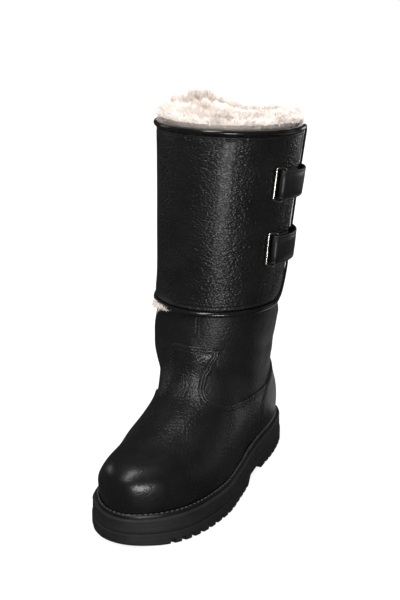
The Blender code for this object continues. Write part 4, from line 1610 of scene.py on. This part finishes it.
@dataclass
class Panel:
    """Overlay of leather sewn on the upper, with turned edges and two rows of stitches."""

    name: str
    node: str
    slot: str
    finish: Finishes
    turns: Span
    top: float
    columns: int
    rows: int
    thickness: float = 1.5
    rounding: float = 1.3
    edge_cuts: tuple[float, ...] = (0.0, 0.15, 0.45, 0.85, 1.3)
    spare: float = 6.0
    stitch: Span = (2.1, 0.34)
    stitch_rows: Span = (2.4, 5.0)
    stitch_sink: float = 0.35
    groove_half: float = 0.5
    groove_depth: float = 0.4
    pitch: float = 3.0
    wear: Triple = (0.3, 0.9, 0.7)

    def outline(self) -> tuple[Array, Array]:
        """Sewn edge and closed outline as turns and levels; each panel has its own."""
        raise NotImplementedError

    def lift(self, distance: Array) -> Array:
        """Height of the panel's face over the upper at a distance from its edge."""
        sunk = sum(self.groove_depth * swell(distance, row, self.groove_half) for row in self.stitch_rows)
        return self.thickness * turned_edge(distance, self.rounding) - sunk

    def stretch(self, points: Array) -> Array:
        """Share by which the last has pulled the grain flat: none on a plain panel."""
        return np.zeros(len(points))

    def build(self) -> None:
        """Cut the panel from the leather, turn its edges and sew it."""
        seam, closed = self.outline()
        turns = np.linspace(*self.turns, self.columns)
        levels = LAST.levels(LAST.feather, self.top, self.rows)
        places = np.stack(np.meshgrid(turns, levels), -1).reshape(-1, 2)
        quads = grid_quads(self.rows, self.columns, False)
        triangles = np.concatenate([quads[:, :3], quads[:, [0, 2, 3]]])
        distance = line_distance(LAST.skin(*places.T), paced(LAST.skin(*seam.T), 0.5))
        distance = np.where(inside_polygon(places, closed), distance, -distance)
        triangles = triangles[(distance[triangles] > -self.spare).any(axis=1)]
        cuts = [*self.edge_cuts]
        for row in self.stitch_rows:
            cuts += [row - self.groove_half, row, row + self.groove_half]
        for level in cuts:
            places, distance, triangles = split_along(places, distance, triangles, level)
        triangles = triangles[(distance[triangles] > -1e-3).all(axis=1)]
        used, numbers = np.unique(triangles, return_inverse=True)
        places, distance = places[used], distance[used]
        triangles = numbers.reshape(-1, 3)
        points = LAST.surface(*places.T, self.lift(distance) + foot_relief(*places.T))
        share, middle, width = self.wear
        marks = {"wear": share * swell(distance, middle, width), "stretch": self.stretch(points)}
        add_piece(self.name, points, triangles, self.finish, [self.node], marks)
        self.sew(seam)

    def sew(self, seam: Array) -> None:
        """Lay the two rows of stitches along the sewn edge.

        Args:
            seam: Turn and level of points on the edge.
        """
        rows = Stitches(*self.stitch)
        base, out = LAST.skin(*seam.T), LAST.normal(*seam.T)
        inward = np.cross(out, unit(np.gradient(base, axis=0)))
        rise = self.thickness - self.stitch_sink + foot_relief(*seam.T)
        nearest = finder(base)
        for row in self.stitch_rows:
            line = base + inward * row + out * rise[:, None]
            rows.row(line, lambda points: out[nearest(points)], self.pitch)
        rows.add(self.name + "_stitches", Finishes.THREAD, self.slot)


@dataclass
class Vamp(Panel):
    """Forefoot panel with its tongue-shaped tab up the front."""

    name: str = "vamp_panel"
    node: str = "vamp"
    slot: str = "vamp_leather"
    finish: Finishes = Finishes.VAMP
    turns: Span = (-0.36, 0.36)
    top: float = 139.0
    columns: int = 270
    rows: int = 135
    smooth_toe: Span = (-118.0, -84.0)

    def stretch(self, points: Array) -> Array:
        """Share by which the last has pulled the grain flat: whole at the toe, none at the instep."""
        return 1 - ease(points[:, 1], *self.smooth_toe)

    def outline(self) -> tuple[Array, Array]:
        """Seam of the sides and the tab, closed below the welt.

        Returns:
            Sewn edge and closed outline.
        """
        scale = (LAST.girth, 1.0)
        sides = []
        for side, edge in ((1.0, TAB_OUTER), (-1.0, TAB_INNER)):
            seam = [(side * turn, level) for turn, level in (LAST.from_side(*point) for point in VAMP_SEAM)]
            sides.append(seam + [LAST.from_front(*point) for point in edge])
        seam = curve_through(sides[0] + sides[1][::-1], scale, 1200)
        edge = [LAST.from_side(along - 2 * GAP, height) for along, height in COUNTER_EDGE[:6]]
        start = np.array(edge)
        end = np.array([(-turn, level) for turn, level in edge[::-1]])
        floor = np.array([(end[-1, 0], 0.0), (start[0, 0], 0.0)])
        return seam, np.concatenate([start, seam, end, floor])


@dataclass
class HeelCounter(Panel):
    """Panel round the heel, lying over the vamp's ends."""

    name: str = "counter_panel"
    node: str = "heel_counter"
    slot: str = "counter_leather"
    finish: Finishes = Finishes.COUNTER
    turns: Span = (0.26, 0.74)
    top: float = 103.0
    columns: int = 230
    rows: int = 120
    thickness: float = 1.9
    back_level: float = 98.6

    def outline(self) -> tuple[Array, Array]:
        """Front and top edge, closed below the welt.

        Returns:
            Sewn edge and closed outline.
        """
        outer = [LAST.from_side(along, height) for along, height in COUNTER_EDGE]
        inner = [(1.0 - turn, level) for turn, level in outer[::-1]]
        seam = curve_through(outer + [(0.5, self.back_level)] + inner, (LAST.girth, 1.0), 900)[::-1]
        floor = np.array([(seam[-1, 0], 0.0), (seam[0, 0], 0.0)])
        return seam, np.concatenate([seam, floor])


@dataclass
class Cuff:
    """Wrap-round panel on the shaft with piped edges."""

    lift: float = 0.5
    wall: float = 2.6
    edge_round: float = 1.7
    piping_radius: float = 2.6
    piping_lift: float = 3.1
    hem_lift: float = 2.1
    hem_run: Span = (170.0, 196.0)
    open_start: float = 0.30
    open_end: float = 0.415
    corner: float = 26.0
    columns: int = 380
    rows: int = 96
    usual_height: float = 150.0
    margin: tuple[float, ...] = (0.0, 0.25, 0.6, 1.1, 1.7, 2.3, 2.9, 3.5, 4.2)
    crease_margin: Span = (2.0, 18.0)
    hand_wave: Span = (0.35, 60.0)
    stitch: Span = (2.3, 0.36)
    stitch_inset: float = 2.9
    groove: Span = (0.5, 0.6)
    pitch: float = 3.3
    wear: Triple = (0.35, 1.2, 1.2)

    def build(self) -> None:
        """Panel, stitches and piping."""
        self.build_panel()
        self.build_piping()

    def face(self, turns: Array, levels: Array, distance: Array) -> Array:
        """Points on the panel's outside.

        Args:
            turns: Turns round the boot.
            levels: Levels up the boot.
            distance: Distance from the panel's nearest edge.

        Returns:
            Points.
        """
        skin = LAST.skin(turns, levels)
        height, width = self.hand_wave
        soft = crease_lift(skin, CUFF_CREASES) + height * ripple(skin, width, 31)
        depth, half = self.groove
        sunk = depth * swell(distance, self.stitch_inset, half)
        flat = self.lift + self.wall * turned_edge(distance, self.edge_round) - sunk
        return LAST.surface(turns, levels, flat + soft * ease(distance, *self.crease_margin))

    def low_edge(self, turns: Array) -> Array:
        """Lower edge of the panel, with its corners rounded.

        Args:
            turns: Turns round the boot.

        Returns:
            Levels.
        """
        ends = LAST.girth * np.minimum(turns - self.open_end, 1 + self.open_start - turns)
        left = np.clip(self.corner - ends, 0.0, self.corner)
        return HEM + 2 * self.piping_radius + GAP + self.corner - np.sqrt(self.corner**2 - left**2)

    def build_panel(self) -> None:
        """Pebbled panel with a stitched margin."""
        first, last = self.open_end, 1 + self.open_start
        margin = np.array(self.margin)
        ends = margin / LAST.girth
        between = np.linspace(first + ends[-1], last - ends[-1], self.columns)[1:-1]
        turns = np.concatenate([first + ends, between, last - ends[::-1]])
        low = self.low_edge(turns)
        height = SHAFT_TOP - low
        edges = margin / self.usual_height
        middle = np.linspace(edges[-1], 1 - edges[-1], self.rows)[1:-1]
        side = LAST.girth * np.minimum(turns - first, last - turns)
        rows, margins = [], []
        for share in np.concatenate([edges, middle, 1 - edges[::-1]]):
            distance = np.minimum(np.minimum(share * height, (1 - share) * height), side)
            rows.append(self.face(turns, low + share * height, distance))
            margins.append(distance)
        faces = grid_quads(len(rows), len(turns), False)
        share, place, width = self.wear
        marks = {"wear": share * swell(np.concatenate(margins), place, width)}
        add_piece("wrap_cuff", np.concatenate(rows), faces, Finishes.CUFF, ["cuff"], marks)
        self.sew()

    def sew(self) -> None:
        """One row of stitches inside the piping, along all four edges."""
        first, last = self.open_end, 1 + self.open_start
        inset = self.stitch_inset
        turns = np.linspace(first + inset / LAST.girth, last - inset / LAST.girth, 700)
        low = self.low_edge(turns) + inset
        top = SHAFT_TOP - inset
        rises = np.linspace(0.0, 1.0, 60)
        lines = [(turns, low), (turns, top)]
        for end in (0, -1):
            lines.append((turns[end], low[end] + rises * (top - low[end])))
        rows = Stitches(*self.stitch)
        for line_turns, line_levels in lines:
            points = self.face(line_turns, line_levels, inset)
            out, nearest = LAST.normal(line_turns, line_levels), finder(points)
            rows.row(points, lambda spots: out[nearest(spots)], self.pitch)
        rows.add("cuff_stitches", Finishes.THREAD, "cuff_leather")

    def build_piping(self) -> None:
        """Rolled piping along all four edges."""
        out = self.piping_radius + GAP
        left = LAST.girth * self.open_end - out
        right = LAST.girth * (1 + self.open_start) + out
        low = HEM + self.piping_radius
        high = SHAFT_TOP + out
        big = self.corner + out
        path = quarter_arc((left + big, low + big), big, 2.0, 16)
        path += [(s, low) for s in np.linspace(left + big, right - big, 160)[1:-1]]
        path += quarter_arc((right - big, low + big), big, 3.0, 16)
        path += [(right, z) for z in np.linspace(low + big, high - out, 44)[1:-1]]
        path += quarter_arc((right - out, high - out), out, 0.0, 6)
        path += [(s, high) for s in np.linspace(right - out, left + out, 190)[1:-1]]
        path += quarter_arc((left + out, high - out), out, 1.0, 6)
        path += [(left, z) for z in np.linspace(high - out, low + big, 44)[1:-1]]
        flat = np.array(path)
        lift = self.hem_lift + (self.piping_lift - self.hem_lift) * ease(flat[:, 1], *self.hem_run)
        points = LAST.surface(flat[:, 0] / LAST.girth, flat[:, 1], lift)
        radius = self.piping_radius * (1 + 0.03 * ripple(points, 14.0, 41))
        tube_points, faces = tube(points, radius, 16, True)
        add_piece("rolled_piping", tube_points, faces, Finishes.PIPING, ["cuff_piping"])


@dataclass
class Strap:
    """Leather strap that closes the cuff, and its ring."""

    name: str
    level: float
    cuff: Cuff
    width: float = 25.0
    wall: float = 2.4
    turn: float = 0.2
    length: float = 112.0
    fall: float = 0.06
    tail: float = 22.0
    sharp: float = 60.0
    wear: float = 0.4
    worn_edge: Span = (11.6, 12.3)
    wire: float = 1.3
    half_height: float = 14.4
    depth: float = 7.5
    corner: float = 2.5

    def point(self, run: Array, level: Array, lift: Array) -> Array:
        """Points at a run back from the strap's fold, a level at the fold and a lift off the shaft."""
        return LAST.surface(self.turn + run / LAST.girth, level - self.fall * run, lift)

    def path(self) -> Array:
        """Middle of the strap: sewn end, fold round the ring, way back over the opening.

        Returns:
            Run and lift at each point.
        """
        sewn = self.cuff.lift + self.cuff.wall + GAP + 0.5 * self.wall
        fold = self.wire + GAP + 0.5 * self.wall
        path = [(run, sewn) for run in np.linspace(self.tail, 0.0, 9)]
        bend = np.linspace(-0.5 * pi, 0.5 * pi, 17)[1:]
        path += [(-fold * cos(a), sewn + fold + fold * sin(a)) for a in bend]
        runs = np.linspace(0.0, self.length, 60)[1:]
        return np.array(path + list(zip(runs, sewn + read(STRAP_BOW, runs))))

    def section(self) -> Array:
        """Rounded section of the strap, with a crease along each edge.

        Returns:
            Places through the wall and across the strap.
        """
        half, wide = 0.5 * self.wall, 0.5 * self.width
        face = np.array([1.0, 0.985, 0.95, 0.9, 0.86, 0.83, 0.80, 0.4, 0.0])
        rise = np.array([0.1, 0.6, 0.9, 1.0, 0.96, 0.8, 0.98, 1.06, 1.08])
        upper = np.column_stack([-half * rise, wide * face])
        upper = np.concatenate([upper, upper[-2::-1] * (1, -1)])
        return np.concatenate([upper, upper[::-1] * (-1, 1)])

    def build(self) -> None:
        """Strap with creased edges, its sewn ends and its ring."""
        path = self.path()
        along = unit(np.gradient(path, axis=0))
        side = np.column_stack([-along[:, 1], along[:, 0]])
        section = self.section()
        middle = path[:, None] - side[:, None] * section[:, 0][None, :, None]
        rise = np.broadcast_to(section[:, 1], middle.shape[:2])
        points = self.point(middle[..., 0], self.level + rise, middle[..., 1])
        count = len(section)
        faces = grid_quads(len(path), count, True).tolist()
        faces += [list(range(count)), list(range((len(path) - 1) * count, len(path) * count))[::-1]]
        wear = np.tile(self.wear * ease(np.abs(section[:, 1]), *self.worn_edge), len(path))
        name = "strap_" + self.name
        flat = points.reshape(-1, 3)
        marks = {"wear": wear}
        sharp = radians(self.sharp)
        add_piece(name, flat, faces, Finishes.STRAP, [name], marks, sharp)
        self.build_ring()

    def build_ring(self) -> None:
        """Rectangular wire ring, one bar in the fold and the other in front."""
        base = self.cuff.lift + self.cuff.wall + 2 * GAP + self.wire
        back, front = -self.corner, self.corner - self.depth
        high = self.half_height - self.corner
        loop = []
        for quarter, centre in enumerate(((back, high), (front, high), (front, -high), (back, -high))):
            loop += quarter_arc(centre, self.corner, float(quarter), 8)
        flat = paced(np.array(loop + loop[:1]), 0.8)[:-1]
        share = np.clip(-flat[:, 0] / self.depth, 0.0, 1.0)
        points = self.point(flat[:, 0], self.level + flat[:, 1], base + self.wall * (1 - share))
        tube_points, faces = tube(points, self.wire, 14, True)
        name = "ring_" + self.name
        add_piece(name, tube_points, faces, Finishes.RING, [name])


@dataclass
class Fur:
    """Shearling that stands above the rim: a wool roll under clumped, curling fibres."""

    quick_part: int = 8
    segments: int = 4
    seed: int = 7
    foot: float = 8.0
    roll_turns: int = 240
    roll_fluff: float = 2.0
    roll_loose: Span = (6.0, 14.0)
    strands: int = 16000
    clumps: int = 420
    clump_turns: float = 0.006
    clump_depth: float = 0.07
    clump_growth: Span = (0.75, 1.25)
    crown_front: float = 2.2
    crown_depth: float = 20.0
    crown_foot: float = 10.0
    crown_rise: float = 9.0
    crown_fall: float = 4.0
    crest_turn: float = 0.66
    crest_growth: float = 0.6
    crest_width: float = 0.06
    length: Span = (4.0, 9.0)
    curl: float = 5.0
    sway: float = 1.5
    nod: float = 1.3
    droop: float = 2.6
    rim_strands: int = 9000
    rim_lift: Span = (-3.4, -2.4)
    rim_rise: Span = (2.8, 9.5)
    rim_length: Span = (4.0, 8.5)
    rim_sway: float = 0.9
    tuft_strands: int = 1500
    tuft_locks: tuple[float, ...] = (-0.135, -0.118, -0.104, -0.092, -0.082)
    tuft_width: float = 0.5
    tuft_rise: Span = (1.0, 4.0)
    tuft_lift: Span = (0.6, 2.6)
    tuft_length: float = 4.0
    tuft_growth: float = 5.0

    # Wool is about 0.03 mm thick, too fine to show, so one fibre stands for a lock as wide as this.
    width: float = 0.5
    taper: tuple[float, ...] = (0.8, 1.0, 0.95, 0.75, 0.45, 0.12)

    def ring(self, turns: Array, lift: Array, rise: Array) -> Array:
        """Points in the fur.

        Args:
            turns: Turns round the boot.
            lift: Distance off the shaft's outside.
            rise: Height over the shaft's top.

        Returns:
            Points.
        """
        points = LAST.surface(turns, SHAFT_TOP + np.minimum(rise, 0.0), lift)
        over = np.maximum(rise - self.foot, 0.0)
        points[..., 2] += np.clip(rise, 0.0, self.foot) + over * self.share(turns)
        return points

    def share(self, turns: Array) -> Array:
        """Share of the fur's full height at turns; it is lower at the rear."""
        return read(FUR_HEIGHTS, turns % 1.0)

    def build(self) -> None:
        """Wool roll and its fibres."""
        self.build_roll()
        draw = np.random.default_rng(self.seed)
        part = 1
        for name in ("fur_fibres_outer", "fur_fibres_inner"):
            self.build_fibres(name, self.strands // part, draw)
        self.build_rim(self.rim_strands // part, draw)
        self.build_tuft(draw)

    def steps(self) -> Array:
        """Shares of the way along a fibre."""
        return np.linspace(0.0, 1.0, self.segments + 1)

    def rim_ways(self, turn: Array) -> tuple[Array, Array]:
        """Level directions out of the rim and along it.

        Args:
            turn: Turns round the boot.

        Returns:
            Unit vectors out, and along.
        """
        out = LAST.normal(turn, SHAFT_TOP - 1.0)
        out[:, 2] = 0.0
        out = unit(out)
        return out, np.stack([-out[:, 1], out[:, 0], np.zeros(len(turn))], -1)

    def build_roll(self) -> None:
        """Closed roll of wool that the fibres grow from."""
        turns = np.arange(self.roll_turns) / self.roll_turns
        fine = np.linspace(0.0, len(FUR_PROFILE), 49)[:-1]
        knots = np.arange(len(FUR_PROFILE) + 1)
        lifts = smooth(fine, knots, column(FUR_PROFILE, "first") + [FUR_PROFILE[0].first])
        rises = smooth(fine, knots, column(FUR_PROFILE, "second") + [FUR_PROFILE[0].second])
        rows = []
        for lift, rise in zip(lifts, rises):
            row = self.ring(turns, lift, rise)
            fluff = ripple(row, 9.0, 51) + 0.7 * ripple(row, 4.0, 52)
            rows.append(row + (self.roll_fluff * fluff * ease(rise, *self.roll_loose))[:, None] * UP)
        count = len(rows)
        faces = grid_quads(count + 1, self.roll_turns, True) % (count * self.roll_turns)
        points = np.concatenate(rows)
        tint = 0.45 + 0.25 * ripple(points, 11.0, 53)
        add_piece("fur_roll", points, faces, Finishes.FUR, ["fur_collar"], {"tint": tint})

    def lay(self, name: str, paths: Array, widths: Array, facing: Array, tone: Array) -> None:
        """Make tapered flat fibres.

        Args:
            name: Name of the piece.
            paths: Points along each fibre.
            widths: Width of each.
            facing: Sideways direction of each.
            tone: Tint along each, from cream to tan.
        """
        count, length = paths.shape[:2]
        last = len(self.taper) - 1
        taper = np.interp(np.linspace(0.0, last, length), np.arange(last + 1), self.taper)
        shift = 0.5 * widths[:, None, None] * taper[None, :, None] * facing[:, None]
        points = np.stack([paths - shift, paths + shift], 2).reshape(-1, 3)
        row = np.arange(length - 1)
        quad = np.stack([2 * row, 2 * row + 1, 2 * row + 3, 2 * row + 2], -1)
        faces = (quad[None] + (2 * length * np.arange(count))[:, None, None]).reshape(-1, 4)
        tint = np.repeat(np.broadcast_to(tone, (count, length)).reshape(-1), 2)
        add_piece(name, points, faces, Finishes.FUR, (), {"tint": tint})

    def build_fibres(self, name: str, strands: int, draw: np.random.Generator) -> None:
        """Clumped fibres over the roll.

        Args:
            name: Name of the piece.
            strands: Number of fibres.
            draw: Source of chance.
        """
        clump_turn = draw.uniform(0.0, 1.0, self.clumps)
        clump_place = draw.uniform(0.0, 1.0, self.clumps)
        clump_lean = draw.normal(0.0, 1.0, (self.clumps, 2))
        clump_length = draw.uniform(*self.clump_growth, self.clumps)
        clump_phase = draw.uniform(0.0, 2 * pi, self.clumps)
        owner = draw.integers(0, self.clumps, strands)
        turn = clump_turn[owner] + draw.normal(0.0, self.clump_turns, strands)
        place = np.clip(clump_place[owner] + draw.normal(0.0, self.clump_depth, strands), 0.0, 1.0)
        lift = self.crown_front - self.crown_depth * place
        dome = np.sin(pi * np.clip(place * 1.05 + 0.05, 0.0, 1.0))
        rise = self.crown_foot + self.crown_rise * dome - self.crown_fall * ease(place, 0.75, 1.0)
        root = self.ring(turn, lift, rise)
        out, side = self.rim_ways(turn)
        lean = 0.75 * (0.5 - place) + 0.35 * clump_lean[owner, 0] + draw.normal(0.0, 0.16, strands)
        slant = 0.5 * clump_lean[owner, 1] + draw.normal(0.0, 0.2, strands)
        way = unit(UP + lean[:, None] * out + slant[:, None] * side)
        length = draw.uniform(*self.length, strands) * clump_length[owner] * (0.6 + 0.4 * self.share(turn))
        crest = swell(turn % 1.0, self.crest_turn, self.crest_width)
        length = length * (1 + self.crest_growth * crest)
        share = self.steps()
        curl = clump_phase[owner][:, None] + self.curl * share
        sway = self.sway * share * np.sin(curl) + 0.5 * share * draw.normal(0.0, 1.0, (strands, 1))
        nod = self.nod * share * np.cos(curl * 1.15)
        droop = -self.droop * share**2 * np.abs(lean)[:, None]
        paths = root[:, None] + way[:, None] * (length[:, None] * share)[..., None]
        paths = paths + sway[..., None] * side[:, None] + nod[..., None] * out[:, None]
        paths = paths + droop[..., None] * UP
        angle = draw.uniform(0.0, pi, strands)[:, None]
        facing = np.cos(angle) * side + np.sin(angle) * out
        widths = self.width * draw.uniform(0.6, 1.2, strands)
        ends = 0.16 * (1 - share) ** 2 + 0.2 * share**3
        tone = np.clip(draw.normal(0.14, 0.12, (strands, 1)) + ends, 0.0, 0.9)
        self.lay(name, paths, widths, facing, tone)

    def build_rim(self, count: int, draw: np.random.Generator) -> None:
        """Short wool that springs from behind the rim and over the piping.

        Args:
            count: Number of fibres.
            draw: Source of chance.
        """
        turn = draw.uniform(0.0, 1.0, count)
        root = self.ring(turn, draw.uniform(*self.rim_lift, count), draw.uniform(*self.rim_rise, count))
        out, side = self.rim_ways(turn)
        rising = UP * draw.uniform(0.1, 0.75, (count, 1))
        leaning = out * draw.uniform(0.45, 1.15, (count, 1))
        way = unit(rising + leaning + side * draw.normal(0.0, 0.45, (count, 1)))
        share = self.steps()
        length = draw.uniform(*self.rim_length, count)
        sway = self.rim_sway * share * np.sin(4.0 * share + draw.uniform(0.0, 2 * pi, (count, 1)))
        paths = root[:, None] + way[:, None] * (length[:, None] * share)[..., None]
        paths = paths + sway[..., None] * side[:, None]
        widths = self.width * draw.uniform(0.7, 1.3, count)
        # Painted light: rim fibres get a paler tint than the crown's fibres, to offset the shade that the
        # overhanging wool casts on them.
        tone = np.clip(draw.normal(0.02, 0.1, (count, 1)) + 0.05 * (1 - share) ** 2, 0.0, 0.9)
        self.lay("fur_fibres_rim", paths, widths, side, tone)

    def build_tuft(self, draw: np.random.Generator) -> None:
        """Wool that peeps out under the hem on the inner side, in loose curls.

        Args:
            draw: Source of chance.
        """
        count = self.tuft_strands
        middle = draw.choice(np.array(self.tuft_locks), count)
        turn = middle + draw.normal(0.0, self.clump_turns, count)
        level = HEM + draw.uniform(*self.tuft_rise, count)
        root = LAST.surface(turn, level, draw.uniform(*self.tuft_lift, count))
        out = LAST.normal(turn, HEM)
        side = unit(np.cross(out, UP))
        share = self.steps()
        reach = self.tuft_length + self.tuft_growth * ease(-middle, 0.08, 0.125)
        length = (reach * draw.uniform(0.35, 1.15, count))[:, None] * share
        fall = draw.uniform(0.05, 0.6, (count, 1)) * length
        fan = draw.normal(0.0, 0.6, (count, 1)) * length
        fan = fan + 0.8 * np.sin(5 * share + draw.uniform(0, 6.0, (count, 1)))
        stand = draw.uniform(0.45, 1.0, (count, 1)) * length
        paths = root[:, None] - fall[..., None] * UP + fan[..., None] * side[:, None]
        paths = paths + stand[..., None] * out[:, None]
        self.lay("hem_tuft", paths, np.full(count, self.tuft_width), side, 0.1 + 0.3 * share)


@dataclass
class Lamp:
    """One soft box."""

    name: str
    place: Triple
    target: Triple
    size: Span
    radiance: float
    gleams: bool = True

    def build(self) -> None:
        """Hang the soft box and point it."""
        light = bpy.data.lights.new(self.name, "AREA")
        light.shape = "RECTANGLE"
        light.size, light.size_y = self.size
        light.energy = self.radiance * pi * self.size[0] * self.size[1]
        lamp = bpy.data.objects.new(self.name, light)
        lamp.visible_camera = False
        lamp.visible_glossy = self.gleams
        lamp.location = self.place
        way = Vector(self.target) - Vector(self.place)
        lamp.rotation_euler = way.to_track_quat("-Z", "Y").to_euler()
        bpy.context.scene.collection.objects.link(lamp)


@dataclass
class Studio:
    """Paper floor, soft boxes, dim room and camera."""

    floor_radius: float = 9.0
    focal_pixels: float = 1400.0
    image_height: float = 600.0
    sensor: float = 36.0
    camera_place: Triple = (490.0, -1076.1, 564.1)
    azimuth: float = 26.96
    elevation: float = 18.24
    pan_pixels: float = 59.0
    room: float = 0.035

    def build(self) -> None:
        """Set up everything round the boot."""
        self.build_floor()
        self.build_room()
        self.build_lamps()
        self.build_camera()

    def build_floor(self) -> None:
        """Round sheet of paper under the boot."""
        rings = (0.0, 0.5, 1.5, 4.0, self.floor_radius)
        sides = 96
        angles = np.linspace(0.0, 2 * pi, sides, endpoint=False)
        points = [(r * cos(a), r * sin(a), 0.0) for r in rings[1:] for a in angles]
        faces = [tuple(range(sides))] + grid_quads(len(rings) - 1, sides, True)[:, ::-1].tolist()
        mesh = bpy.data.meshes.new("studio_floor")
        mesh.from_pydata(points, [], faces)
        mesh.materials.append(Finishes.FLOOR.value.material())
        floor = bpy.data.objects.new("studio_floor", mesh)
        floor.visible_glossy = False
        bpy.context.scene.collection.objects.link(floor)

    def build_room(self) -> None:
        """Dim, even grey room, shown with plain sRGB colours."""
        world = bpy.data.worlds.new("studio_room")
        world.use_nodes = True
        back = world.node_tree.nodes["Background"]
        back.inputs["Color"].default_value = (1.0, 1.0, 1.0, 1.0)
        back.inputs["Strength"].default_value = self.room
        scene = bpy.context.scene
        scene.world = world
        scene.view_settings.view_transform = "Standard"

    def build_lamps(self) -> None:
        """Soft boxes in front, overhead and round the sides, two broad lights and a glow off the floor."""
        middle = (0.0, 0.0, 0.18)
        lamps = (
            Lamp("broad_top", (0.0, -0.1, 2.2), (0.0, 0.0, 0.0), (2.6, 2.6), 4.8, False),
            Lamp("broad_front", (0.6, -2.2, 1.2), middle, (1.6, 1.2), 2.6, False),
            Lamp("front_box", (1.0, -1.64, 0.18), middle, (0.62, 0.36), 15.5),
            Lamp("overhead_box", (-0.15, -0.95, 1.73), (0.0, -0.05, 0.1), (0.42, 1.5), 7.0),
            Lamp("left_box", (-1.5, 0.15, 0.6), middle, (0.5, 0.4), 1.2),
            Lamp("right_box", (1.28, 1.11, 0.2), middle, (0.5, 0.6), 0.3),
            Lamp("back_box", (0.4, 1.9, 0.15), middle, (0.6, 0.6), 1.3),
            Lamp("floor_glow", (0.05, 0.37, 0.004), (0.05, 0.37, 1.0), (0.3, 0.4), 0.34),
        )
        for lamp in lamps:
            lamp.build()

    def build_camera(self) -> None:
        """Camera at the photograph's angle, turned so that the one boot stands in the middle."""
        elevation = radians(self.elevation)
        turn = atan(self.pan_pixels / (self.focal_pixels * cos(elevation)))
        azimuth = radians(self.azimuth) - turn
        back = Vector((sin(azimuth) * cos(elevation), -cos(azimuth) * cos(elevation), sin(elevation)))
        right = Vector((cos(azimuth), sin(azimuth), 0.0))
        above = back.cross(right)
        data = bpy.data.cameras.new("camera")
        data.sensor_width = self.sensor
        data.lens = self.focal_pixels / self.image_height * self.sensor
        camera = bpy.data.objects.new("camera", data)
        place = Vector((np.array(self.camera_place) + SHIFT) * MM)
        camera.matrix_world = Matrix.Translation(place) @ Matrix((right, above, back)).transposed().to_4x4()
        bpy.context.scene.collection.objects.link(camera)
        bpy.context.scene.camera = camera


def main() -> None:
    """Build the boot piece by piece and set up the studio."""
    logging.basicConfig(level=logging.INFO, format="%(message)s")
    cuff = Cuff()
    straps = (Strap("upper", 276.0, cuff), Strap("lower", 219.0, cuff))
    panels = (Vamp(), HeelCounter())
    assemblies = (Outsole(), Welt(), Footbed(), Upper(), *panels, cuff, *straps, Fur(), Studio())
    for assembly in assemblies:
        LOG.info("building %s", type(assembly).__name__)
        assembly.build()


if __name__ == "__main__":
    main()
